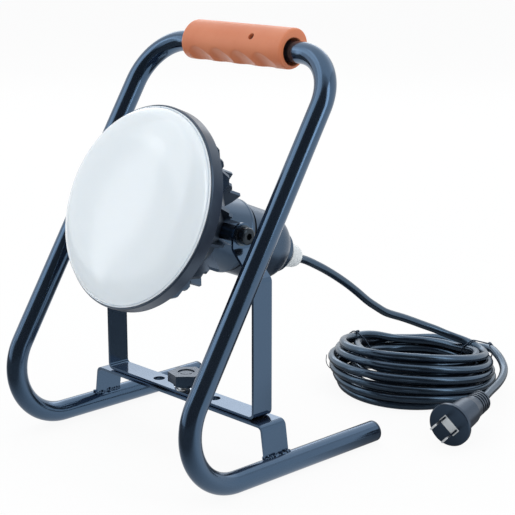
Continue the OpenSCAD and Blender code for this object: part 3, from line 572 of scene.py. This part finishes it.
@dataclass
class Cord:
    """The mains cord: out of the lamp, down to a loose coil behind the stand, eleven turns, and on to its plug.

    Angles are in degrees, and lengths in mm where they don't say MM.
    """

    diameter: float = 6.8 * MM
    sides: int = 14
    step: float = 2.6 * MM
    settling_step: float = 6.0
    coil_middle: Pair = (34.0, 210.0)
    first_turn_at: float = 46.2
    seed: int = 7
    wobble: float = 0.5
    leaves_lamp: Place = (0.0, 103.1794, 124.0996)
    straight: float = 8.0
    lead: tuple[Place, ...] = (
        (4, 132, 110), (6, 146, 101), (8, 157, 93), (9.5, 167, 85), (11, 179, 75), (12.5, 189, 68), (14.5, 200, 61),
        (19, 218, 53.5), (26, 236, 45), (35, 250.5, 38), (46, 260.5, 33), (60, 264, 30.5))
    tail: tuple[Place, ...] = (
        (53, 276.0, 23.0), (66, 275.8, 25.5), (81, 267.2, 25), (93.8, 257.7, 23), (104.3, 246.6, 21),
        (113.9, 231, 20), (122.2, 212.9, 20), (129.5, 195, 21), (138.2, 174.7, 22))
    len_tail: float = 170.0
    lamp_fall: float = 22.0
    splits: tuple[int, int] = (6, 12)
    lead_points: int = 160
    clearance: float = 0.3
    lift: float = 0.1
    rounds: int = 240
    soften_every: int = 24
    push: float = 0.9
    pull: float = 0.015
    sink: float = 0.04
    stiffness: float = 2.6
    tightest_bend: float = 30.0
    bend_rounds: int = 150
    tie_angles: Pair = (63.0, 194.0)
    tie_reach: Pair = (0.03, 0.085)
    tie_wire: float = 0.55 * MM
    tie_end: float = 6.0 * MM
    tie_twist: float = 13.0
    twist_radius: float = 0.6 * MM
    loose_wire: float = 0.3 * MM

    def turns(self) -> Array:
        """The coil's knots: centre + r*(cos b, sin b) with b falling 90 degrees from one knot to the next."""
        spaced, between = 1000.0, 14
        r, z = TURNS[..., 0].ravel(), TURNS[..., 1].ravel()
        wobble = np.random.default_rng(self.seed).normal(0, self.wobble, (2, len(r)))
        r, z = r + wobble[0], np.maximum(z + 0.5 * wobble[1], self.diameter / MM / 2)
        ring = smooth_path(np.stack([np.arange(len(r)) * spaced, r, z], axis=1), spaced / between)
        b = np.radians(self.first_turn_at - ring[:, 0] / spaced * 90)
        x, y = self.coil_middle
        return np.stack([x + ring[:, 1] * np.cos(b), y + ring[:, 1] * np.sin(b), ring[:, 2]], axis=1)

    def route(self) -> tuple[Array, int, int]:
        """The whole centreline in metres, with its turns settled on one another.

        Returns:
            The evenly spaced points, and the indices where the first and the second stretch end.
        """
        fall, coarse = math.radians(self.lamp_fall), self.settling_step
        start = np.array(self.leaves_lamp)
        out = self.straight * (math.cos(fall) * BACK - math.sin(fall) * UP)
        lead = np.array(self.lead, float)
        head = np.vstack([start, start + out, start + 2 * out, lead])
        line = smooth_path(np.vstack([head, self.turns()[1:], np.array(self.tail, float)]), coarse)
        line = self.settle(line, len_head=length_of(smooth_path(head, coarse)))
        line = smooth_path(line, self.step / MM) * MM
        near = line[: self.lead_points]
        first, second = (int(np.argmin(np.linalg.norm(near - lead[i - 1] * MM, axis=1))) for i in self.splits)
        return line, first, second

    def settle(self, line: Array, len_head: float) -> Array:
        """Pushes turns apart and lets them down on one another.

        Each round adds up, for every point, its overlap with each point nearer than the gap, a small fall and a
        pull towards its first place. The sum is averaged along the cord with a bell curve, as its stiffness
        would, before it moves the points. The floor stops them, and tight bends are opened now and then.

        Args:
            line: points settling_step apart, in mm.
            len_head: the length at the start that stays. The last len_tail stays too.

        Returns:
            The settled points.
        """
        gap, floor = self.diameter / MM + self.clearance, self.diameter / MM / 2 + self.lift
        far = np.concatenate([[0], np.cumsum(np.linalg.norm(np.diff(line, axis=0), axis=1))])
        early, eases_in, eases_out, beside, wide = 35.0, 40.0, 30.0, 5, 8
        leaving = np.clip((far - len_head + early) / eases_in, 0, 1)
        free = (leaving * np.clip((far[-1] - self.len_tail - far) / eases_out, 0, 1))[:, None]
        order = np.arange(len(line))
        neighbours = np.abs(np.subtract.outer(order, order)) < beside
        bell = np.exp(-0.5 * (np.arange(-wide, wide + 1) / self.stiffness) ** 2)
        bell /= bell.sum()
        first = line.copy()
        for count in range(1, self.rounds + 1):
            apart = line[:, None] - line[None]
            dist = np.linalg.norm(apart, axis=-1) + neighbours * 1e3 + 1e-9
            push = (np.clip(gap - dist, 0, None)[..., None] * apart / dist[..., None]).sum(1)
            move = self.push * push + self.pull * (first - line) - self.sink * UP
            line = line + free * np.stack([np.convolve(move[:, k], bell, mode="same") for k in range(3)], axis=1)
            line[:, 2] = np.maximum(line[:, 2], floor)
            if count % self.soften_every == 0:
                line = self.soften(line)
        return line

    def soften(self, line: Array) -> Array:
        """Opens every bend tighter than tightest_bend, in mm.

        A point stands off the middle of its two neighbours by step^2 / (2 * radius). Each round moves it towards
        that middle by half of what is above the limit's share.
        """
        for _ in range(self.bend_rounds):
            step = np.linalg.norm(line[2:] - line[:-2], axis=1) / 2
            off = (line[2:] + line[:-2]) / 2 - line[1:-1]
            limit = step**2 / (2 * self.tightest_bend)
            share = np.clip(1 - limit / (np.linalg.norm(off, axis=1) + 1e-9), 0, 1)
            line[1:-1] += 0.5 * share[:, None] * off
        return line

    def stretch(self, name: str, line: Array, finish: Material) -> Piece:
        """One length of the cord as a closed tube along that part of the centreline."""
        steep = 0.97
        upright = np.abs(tangents(line)[:, 2:]) >= steep
        rings = tube_rings(line, np.where(upright, ACROSS, UP), self.diameter / 2, self.sides)
        return skin(name, rings, finish, long=length_of(line) / U_LENGTH)

    def build(self, finishes: Finishes) -> None:
        """Makes the three stretches and the ties.

        The first stretch reaches from the head towards the swivel, the second from there to the stand, and
        the third, with the coil, the ties and the plug, lies on the stand.
        """
        line, first, second = self.route()
        parts = (line[: first + 1], line[first : second + 1], line[second:])
        names = ("cord_from_lamp", "cord_down", "cord_on_floor")
        made = [self.stretch(name, part, finishes["cord_sheath"]) for name, part in zip(names, parts)]
        black = finishes["moulded_black"]
        ties = [self.tie(f"cord_tie_{i}", line, math.radians(a), black) for i, a in enumerate(self.tie_angles)]
        ties.append(self.loose_end("cord_tie_end", black))
        mount(made[2], Body.STAND, Slot.CORD, "cord_coil", "cord_tail")
        for tie in ties:
            mount(tie, Body.STAND, Slot.STEEL, "cord_ties")
        for piece, part, bodies in zip(made, parts, ((Body.HEAD, Body.SWIVEL), (Body.SWIVEL, Body.STAND))):
            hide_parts("cord_lead")
            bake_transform(piece)
            LOG.info("%s bends between %s and %s", piece.name, bodies[0].value, bodies[1].value)

    def tie(self, name: str, line: Array, at: float, finish: Material) -> Piece:
        """A wire tie round the turns at one angle of the coil, with its two ends twisted together.

        The band is the outline of the turns cut by the half plane at that angle: from their middle, in each
        direction d, it is at the least of (h(n) - c.n) / (d.n) over all normals n, where h(n) is how far the
        turns reach. The ends are two helices, cos(t)*u + sin(t)*v, half a turn apart.

        Args:
            name: the piece's name.
            line: the cord's centreline, in metres.
            at: the half plane's angle.
            finish: the tie's material.

        Returns:
            The tie.
        """
        wire = self.tie_wire
        middle = np.array([*self.coil_middle, 0.0]) * MM
        out, across = math.cos(at) * ACROSS + math.sin(at) * BACK, math.cos(at) * BACK - math.sin(at) * ACROSS
        side, reach = (line - middle) @ across, (line - middle) @ out
        inner, outer = self.tie_reach
        crossing = np.flatnonzero((side[:-1] * side[1:] <= 0) & (reach[:-1] > inner) & (reach[:-1] < outer))
        cut = np.stack([reach[crossing], line[crossing, 2]], axis=1)
        n = np.linspace(0, 2 * math.pi, 360, endpoint=False)
        normals = np.stack([np.cos(n), np.sin(n)], axis=1)
        h = (cut @ normals.T).max(0) + self.diameter / 2 + wire
        c = (cut.max(0) + cut.min(0)) / 2
        d = -normals[::3]
        facing, least = d @ normals.T, 0.05
        r = np.where(facing > least, (h - c @ normals.T) / np.maximum(facing, least), np.inf).min(1)
        flat = c + d * r[:, None]
        flat[:, 1] = np.maximum(flat[:, 1], wire)
        lean = np.sin(n[::3])[:, None] * 1.5 * MM
        band = middle + flat[:, :1] * out + flat[:, 1:] * UP + lean * across
        ring = skin(name, tube_rings(np.vstack([band, band[:1]]), across, wire, 10)[:-1], finish, long=4.0, loop=True)
        way = math.copysign(1.0, math.cos(at))
        top = band[int(np.argmax(band[:, 2] + 0.4 * way * band @ out))] + 0.3 * MM * UP
        away = unit(way * across + 0.2 * out - 0.2 * UP)
        u = unit(np.cross(away, UP))
        v = np.cross(away, u)
        t = np.linspace(0, 1, 48)[:, None]
        ends = []
        for k in (0, 1):
            turn = t * self.tie_twist + k * math.pi
            helix = top + away * t * self.tie_end + self.twist_radius * (np.cos(turn) * u + np.sin(turn) * v)
            ends.append(skin(f"{name}_end_{k}", tube_rings(helix, u, wire, 8), finish))
        return merged(name, [ring, *ends])

    def loose_end(self, name: str, finish: Material) -> Piece:
        """The long free end of a tie: a thin wire that bows out of the coil's left side."""
        reach, height = np.array([[60.0, 11.0], [66.5, 12.5], [70.6, 16.0], [72.2, 20.5], [71.8, 26.0]]).T
        x, y = self.coil_middle
        out = np.array([-0.692, -0.722])
        bow = smooth_path(np.stack([x + out[0] * reach, y + out[1] * reach, height], axis=1), 0.6)
        return skin(name, tube_rings(bow * MM, np.array([-out[1], out[0], 0.0]), self.loose_wire, 8), finish)


# ---- stand


@dataclass
class Stand:
    """The bent tube of the stand, one smooth run from one runner's end to the other's, in mm."""

    origin_y: float = 131.645
    side_x: float = 101.0
    radius: float = 8.0
    bore: float = 6.5
    lean: float = 58.4
    leg: float = 338.0
    foot_bend: float = 42.5
    top_bend: float = 39.5
    runner_end: float = 217.0
    end_depth: float = 12.0
    sides: int = 48

    def half(self) -> tuple[Array, Array]:
        """Half the centreline in mm, and the ring's side vector at each point.

        The runner is straight; the foot turns on an arc of radius foot_bend about (y, z) = (tangent, radius +
        foot_bend); the leg is straight at the lean; the top turns on an arc of radius top_bend in the leg's plane.
        """
        lean = math.radians(self.lean)
        turn = math.pi - lean
        tangent = self.foot_bend * math.tan(turn / 2)
        along = math.cos(lean) * BACK + math.sin(lean) * UP
        a = (1.5 * math.pi - turn * np.linspace(0, 1, 37))[:, None]
        foot_y, foot_z = tangent + self.foot_bend * np.cos(a), self.radius + self.foot_bend * (1 + np.sin(a))
        foot = self.side_x * ACROSS + foot_y * BACK + foot_z * UP
        b = np.linspace(0, math.pi / 2, 29)[:, None]
        rise = self.leg - self.top_bend * (1 - np.sin(b))
        reach = self.side_x - self.top_bend + self.top_bend * np.cos(b)
        top = self.radius * UP + along * rise + ACROSS * reach
        runner = np.linspace([self.side_x, self.runner_end, self.radius], foot[0], 24, endpoint=False)
        leg = np.linspace(foot[-1], top[0], 40, endpoint=False)[1:]
        flat = np.vstack([runner, foot, leg])
        n = math.sin(lean) * BACK - math.cos(lean) * UP
        side = np.vstack([np.tile(ACROSS, (len(flat), 1)), np.cross(n, tangents(top))])
        return np.vstack([flat, top]), side

    def top_middle(self) -> Array:
        """The middle of the top bar, in mm."""
        lean = math.radians(self.lean)
        return (self.leg * math.cos(lean) - self.origin_y) * BACK + (self.radius + self.leg * math.sin(lean)) * UP

    def tube(self, finish: Material) -> Piece:
        """The tube: a skin along the centreline, turned in at each end to the bore and closed end_depth inside."""
        line, side = self.half()
        flip = BACK + UP - ACROSS
        bar = np.linspace(line[-1], line[-1] * flip, 12)[1:-1]
        path = np.vstack([line, bar, (line * flip)[::-1]])
        sides = np.vstack([side, np.tile(side[-1], (len(bar), 1)), (side * flip)[::-1]])
        path[:, 1] -= self.origin_y
        rings = tube_rings(path, sides, self.radius, self.sides)
        ends = []
        for k in (0, -1):
            c, w = path[k], rings[k] - path[k]
            inner = c + w * self.bore / self.radius
            lip = c + w * self.bore / self.radius * 1.04
            ends.append(np.array([c + w * 0.96, lip, inner - 0.4 * BACK, inner - self.end_depth * BACK]))
        whole = np.concatenate([ends[0][::-1], rings, ends[1]])
        return skin("stand_frame", whole * MM, finish, long=length_of(path) * MM / U_LENGTH, crease=50)

    def build(self, finishes: Finishes) -> None:
        """Makes the tube and sets it on the stand."""
        mount(self.tube(finishes["gloss_enamel"]), Body.STAND, Slot.PAINT, "stand_tube")


@dataclass
class Grip:
    """The orange grip: an oval sleeve round the top of the tube, with finger grooves on its lower front side."""

    stand: Stand = field(default_factory=Stand)
    length: float = 107.0
    shift_x: float = 0.6
    long: float = 31.6
    short: float = 27.4
    lean: float = 48.0
    pitch: float = 22.8
    depth: float = 3.8
    groove_turn: float = 230.0
    skew: float = 0.65
    proud: float = 1.002
    end_round: float = 2.6
    end_share: float = 0.92
    recess: float = 12.0
    gap: float = 2.0
    shift: Pair = (0.2, 2.1)
    screw_x: float = 21.5
    screw_angle: float = 139.0
    screw_hole: float = 2.6
    screw_floor: float = 10.0
    around: int = 112
    spans: int = 150

    def oval(self, a: Array) -> Array:
        """How far the shifted, leaning ellipse is from the tube's middle at angle a.

        It is the positive root of k*r^2 + 2*b*r + c = 0.
        """
        turn = math.radians(self.lean)
        u = np.stack([np.cos(a - turn), np.sin(a - turn)])
        sx, sy = self.shift
        q = np.array([sx * math.cos(turn) + sy * math.sin(turn), sy * math.cos(turn) - sx * math.sin(turn)])
        m = np.array([2 / self.long, 2 / self.short])
        k = (u[0] * m[0]) ** 2 + (u[1] * m[1]) ** 2
        b = -(u[0] * q[0] * m[0] ** 2 + u[1] * q[1] * m[1] ** 2)
        c = ((q * m) ** 2).sum() - 1
        return (-b + np.sqrt(b * b - k * c)) / k

    def radius_at(self, x: Array, a: Array) -> Array:
        """The sleeve's radius at length x and angle a, in mm.

        Each groove is what a round finger presses flat across the sleeve: the least of the oval and d / cos(a -
        groove_turn), where d is the oval at the groove's middle less depth * sin(pi * u^skew), u being the share of
        the groove's length. Both ends are drawn in by a quarter circle.
        """
        turn = math.radians(self.groove_turn)
        along = np.mod(x / self.pitch, 1.0)
        wave = np.sin(math.pi * along**self.skew) * (np.abs(x) < 2 * self.pitch)
        crest = self.oval(np.array([turn]))[0] * self.proud
        flat = (crest - self.depth * wave) / np.clip(np.cos(a - turn), 0.05, None)
        full = np.minimum(self.oval(a), flat)
        share = np.clip((self.length / 2 - np.abs(x)) / self.end_round, 0, 1)
        ease = np.sqrt(np.clip(1 - (1 - share) ** 2, 0, 1))
        return full * (self.end_share + (1 - self.end_share) * ease)

    def build(self, finishes: Finishes) -> None:
        """Makes the sleeve, cuts the screw's hole, and sets it on the stand."""
        half, tube_r = self.length / 2, self.stand.radius
        ends = half - self.end_round * (1 - np.cos(np.linspace(0, math.pi / 2, 9)[:-1]))
        body = np.linspace(-(half - self.end_round), half - self.end_round, self.spans)
        a = np.linspace(0, 2 * math.pi, self.around, endpoint=False)[None]
        x = np.concatenate([-ends, body, ends[::-1]])[:, None]
        rim, snug, inner = tube_r + self.gap, tube_r + 0.05, half - self.recess
        inside = [(half, rim + 0.5), (half - 0.5, rim), (inner, rim), (inner, snug)]
        inside += [(-place, r) for place, r in reversed(inside)]
        x_in, r_in = np.array(inside).T[:, :, None]
        x, r = np.concatenate([x, x_in]), np.concatenate([self.radius_at(x, a), r_in + 0 * a])
        rings = np.stack([x + 0 * a, r * np.cos(a), r * np.sin(a)], axis=-1)
        rings += self.stand.top_middle() + self.shift_x * ACROSS
        sleeve = skin("grip_sleeve", rings * MM, finishes["orange_grip"], long=3.0, loop=True)
        self.bore_hole(sleeve)
        mount(sleeve, Body.STAND, Slot.GRIP, "handle_grip")

    def bore_hole(self, sleeve: Piece) -> None:
        """Cuts the screw's counterbore with a round cutter."""
        turn = math.radians(self.screw_angle)
        out = math.cos(turn) * BACK + math.sin(turn) * UP
        far = np.array([self.screw_floor, 14.0, 30.0])[:, None]
        path = self.stand.top_middle() + self.screw_x * ACROSS + out * far
        rings = tube_rings(path, ACROSS, self.screw_hole, 40) * MM
        cutter = skin("hole_cutter", rings, sleeve.data.materials[0])
        cut = sleeve.modifiers.new("hole", "BOOLEAN")
        cut.object, cut.operation, cut.solver = cutter, "DIFFERENCE", "EXACT"
        shape = bpy.data.meshes.new_from_object(sleeve.evaluated_get(bpy.context.evaluated_depsgraph_get()))
        sleeve.modifiers.clear()
        sleeve.data = shape
        shade(shape)
        bpy.data.objects.remove(cutter)


# ---- lamp head


@dataclass
class Cover:
    """The milky cover: a shallow dome inside a narrow rim, with a rounded bead round its edge."""

    pivot: Place = (0.0, -13.645, 171.3)
    tilt: float = 22.0
    edge: float = 74.0
    foot: float = 45.4
    rim: float = 49.3
    bead: float = 0.45
    dome_edge: float = 72.8
    dome: float = 13.4
    power: float = 4.6
    shoulder: float = 0.5
    wall: float = 2.0
    sides: int = 160

    def profile(self) -> Array:
        """Rows of (radius, distance along the lamp), from the middle outside round the edge to the middle inside.

        The dome stands rim + dome * (1 - (r / dome_edge)^power)^shoulder; a narrow rim runs out to the
        bead, half an ellipse across the last part of the edge.
        """
        q = np.sin(np.linspace(0.02, math.pi / 2, 44))
        swell = (1 - q**self.power) ** self.shoulder
        dome = np.stack([self.dome_edge * q, self.rim + self.dome * swell], axis=1)
        under = np.stack([(self.dome_edge - self.wall) * q, self.rim + (self.dome - self.wall) * swell], axis=1)
        flat = [[self.dome_edge + 0.12, self.rim - 0.05], [self.edge - 2 * self.bead - 0.05, self.rim - 0.1]]
        b = np.linspace(math.pi, 0, 15)
        bead = np.stack([self.edge - self.bead * (1 - np.cos(b)), self.rim - 0.15 + 0.6 * np.sin(b)], axis=1)
        inner = [[self.edge, self.foot], [self.edge - self.wall, self.foot]]
        return np.vstack([dome, flat, bead, inner, under[::-1]])

    def build(self, finishes: Finishes) -> None:
        """Turns the profile about the lamp's axis and sets the cover on the head."""
        turn = math.radians(self.tilt)
        along = math.sin(turn) * UP - math.cos(turn) * BACK
        up = math.sin(turn) * BACK + math.cos(turn) * UP
        r, s = self.profile().T[:, :, None, None]
        b = np.linspace(0, 2 * math.pi, self.sides, endpoint=False)[:, None]
        rings = (np.array(self.pivot) + s * along + r * (np.cos(b) * ACROSS + np.sin(b) * up))[::-1]
        cover = skin("lamp_cover", rings * MM, finishes["milky_cover"], long=2.0, crease=50)
        mount(cover, Body.HEAD, Slot.DIFFUSER, "lens")


@dataclass
class Welds:
    """The beads that join the crossbar's feet to the runners."""

    middle_y: float = -13.645
    foot_x: float = 98.5
    strip: float = 2.0
    height: float = 15.6
    width: float = 23.5
    radius: float = 1.5
    ripple: float = 2.5
    over: float = 0.6
    seed: int = 40
    sides: int = 20

    def bead(self, name: str, x: float, seed: int, finish: Material) -> Piece:
        """One bead along the strip's foot.

        It is a tube on a wandering line, and its radius swells over each ripple with |sin(pi y / ripple)|.
        """
        rng = np.random.default_rng(seed)
        reach, n = self.width / 2 + self.over, 14
        y = np.linspace(-reach, reach, 160)
        knots = np.linspace(-reach, reach, n)
        drift_x, drift_z, swell = (np.interp(y, knots, rng.normal(0, s, n)) for s in (0.35, 0.35, 0.18))
        path = np.stack([x + drift_x, y + self.middle_y, self.height + drift_z], axis=1)
        end = np.clip((reach - np.abs(y)) / (2 * self.over), 0.02, 1) ** 0.5
        radius = self.radius * (0.72 + 0.42 * np.abs(np.sin(math.pi * y / self.ripple)) + swell) * end
        return skin(name, tube_rings(path, ACROSS, radius, self.sides) * MM, finish, crease=80)

    def build(self, finishes: Finishes) -> None:
        """Makes the four beads as one piece on the stand."""
        off = self.strip / 2 + 0.4 * self.radius
        places = [side * (self.foot_x + s * off) for side in (-1, 1) for s in (-1, 1)]
        beads = [self.bead(f"weld_{i}", x, self.seed + i, finishes["weld_enamel"]) for i, x in enumerate(places)]
        mount(merged("foot_welds", beads), Body.STAND, Slot.PAINT, "weld_beads")


# ---- carried nodes


CARRIED = {
    "gloss_enamel": "crossbar yoke",
    "cast_enamel": "heat_sink driver_collar rear_drum rear_cap",
    "ring_enamel": "front_ring",
    "moulded_black": "runner_caps pan_knob knob_cap gland_body plug_body",
    "black_rubber": "friction_disc tilt_discs lens_gasket housing_seal gland_seal cord_entry",
    "bright_zinc": "pan_bolt pan_washer pan_spring_washer knob_nut plug_blades",
    "plain_steel": "grip_screw board_screws housing_screws",
    "dark_screw": "tilt_bolts",
    "black_oxide": "tilt_washers",
    "white_mask": "led_board inner_leads",
    "phosphor": "led_chips",
    "green_mask": "driver_board",
    "moulded_grey": "driver_parts",
    "pale_nylon": "gland_nut plug_insert",
}


def dress_nodes(frame: dict, finishes: Finishes) -> None:
    """Gives each carried node its finish."""
    for finish, names in CARRIED.items():
        for name in names.split():
            node = frame["nodes"][name]
            node.data.materials.clear()
            node.data.materials.append(finishes[finish])
            LOG.info("%s is finished in %s", name, finish)


# ---- room


@dataclass
class Studio:
    """A pale floor, a pale world and large soft lamps."""

    floor_half: float = 14.0
    show: float = 0.92
    world_level: float = 0.68
    dark_side: Place = (0.60, -0.76, 0.25)
    dark_reach: Pair = (0.42, 0.70)
    dark_level: float = 0.93
    top_reach: Pair = (0.5, 0.9)
    top_level: float = 0.4
    front: Pair = (-0.19, -0.03)
    # painted shadow round the coil: where its disc is centred, how far it reaches and how dark it makes the floor's
    # white
    coil_middle: Place = (0.034, 0.21, 0.0)
    painted_coil_shadow_reach: Pair = (0.13, 0.22)
    painted_coil_shadow_level: float = 0.85
    lamps: tuple[tuple[Place, float, float, float], ...] = (
        ((-0.5, 0.7, 1.8), 3.2, 3.2, 16.0), ((1.6, 0.32, 1.1), 0.6, 1.6, 7.0),
        ((-1.26, -1.05, 0.55), 0.16, 1.15, 0.8), ((-0.9, -1.1, 1.6), 1.4, 1.4, 5.5),
        ((-1.5, 1.45, 0.95), 1.8, 0.5, 4.5))

    def seen(self, g: Graph) -> Socket:
        """1 for a camera, glossy or transmitted ray, and 0 for the rest."""
        path = g.add("LightPath").outputs
        first = g.math("MAXIMUM", path["Is Camera Ray"], path["Is Glossy Ray"])
        return g.math("MAXIMUM", first, path["Is Transmission Ray"])

    def mirrored(self, g: Graph, dark: Socket) -> Socket:
        """1 less the dark share, and only where gloss mirrors it."""
        return g.math("SUBTRACT", 1.0, g.math("MULTIPLY", g.add("LightPath").outputs["Is Glossy Ray"], dark))

    def floor(self) -> None:
        """A wide plane whose white shows at full strength, with part of its own shading so that shadows stay.

        Gloss mirrors it dark in front of the object, where the world's dark side stands. Round the coil a dark disc
        is painted into its white as the shadow of the coil's turns: a painted shadow that gloss mirrors.
        """
        material = bpy.data.materials.new("pale_floor")
        g = empty_graph(material)
        spot = g.here()
        front = g.spread(g.axis(spot, "Y"), *self.front, self.dark_level, 0.0)
        # painted shadow: the floor's white is dimmed round the coil, in place of the shade of its turns
        away = g.add("VectorMath", {0: spot, 1: self.coil_middle}, operation="DISTANCE").outputs["Value"]
        dark = g.math("MAXIMUM", front, g.spread(away, *self.painted_coil_shadow_reach, self.painted_coil_shadow_level, 0.0))
        white = g.add("Emission", {"Color": (1.0, 1.0, 1.0, 1.0), "Strength": self.mirrored(g, dark)})
        cloth = g.add("BsdfDiffuse", {"Color": (0.90, 0.91, 0.92, 1.0)})
        share = g.math("MULTIPLY", self.seen(g), self.show)
        mix = g.add("MixShader", {0: share, 1: cloth.outputs[0], 2: white.outputs[0]})
        g.add("OutputMaterial", {"Surface": mix.outputs[0]})
        points = np.array([[-1, -1, 0], [1, -1, 0], [1, 1, 0], [-1, 1, 0]]) * self.floor_half
        new_piece("floor", points, [[0, 1, 2, 3]], material)

    def world(self) -> None:
        """A pale world: white to what looks at it, and a plain grey as light.

        Gloss mirrors one side and the top darker. The dark side is a soft round patch in one fixed direction: its
        share is the smooth step of the dot product of that direction with the ray's.
        """
        world = bpy.data.worlds.new("room")
        bpy.context.scene.world = world
        g = empty_graph(world)
        ray = g.add("TexCoord").outputs["Generated"]
        side = unit(np.array(self.dark_side)).tolist()
        aim = g.add("VectorMath", {0: ray, 1: side}, operation="DOT_PRODUCT").outputs["Value"]
        patch = g.spread(aim, *self.dark_reach, 0.0, self.dark_level)
        dark = g.math("MAXIMUM", patch, g.spread(g.axis(ray, "Z"), *self.top_reach, 0.0, self.top_level))
        shown = g.math("ADD", g.math("MULTIPLY", self.seen(g), 1.0 - self.world_level), self.world_level)
        level = g.math("MULTIPLY", shown, self.mirrored(g, dark))
        sky = g.add("Background", {"Color": (0.97, 0.985, 1.0, 1.0), "Strength": level})
        g.add("OutputWorld", {"Surface": sky.outputs[0]})

    def lights(self) -> None:
        """Large flat lamps that face the object's middle."""
        for i, (place, wide, tall, power) in enumerate(self.lamps):
            data = bpy.data.lights.new(f"soft_lamp_{i}", "AREA")
            data.shape, data.size, data.size_y, data.energy = "RECTANGLE", wide, tall, power
            lamp = put(data.name, data)
            lamp.location = place
            aim = Vector((0.0, 0.0, 0.15)) - Vector(place)
            lamp.rotation_euler = aim.to_track_quat("-Z", "Y").to_euler()

    def build(self) -> None:
        """Makes the floor, the world and the lamps, and sets the view transform."""
        self.floor()
        self.world()
        self.lights()
        bpy.context.scene.view_settings.view_transform = "Standard"


def main() -> None:
    """Builds the lamp around its frame."""
    logging.basicConfig(level=logging.INFO, format="%(message)s")
    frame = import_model()
    Viewpoint().build()
    finishes = Finishes()
    Cord().build(finishes)
    Stand().build(finishes)
    Grip().build(finishes)
    Welds().build(finishes)
    Cover().build(finishes)
    dress_nodes(frame, finishes)
    Studio().build()
    bpy.context.view_layer.update()


if __name__ == "__main__":
    main()
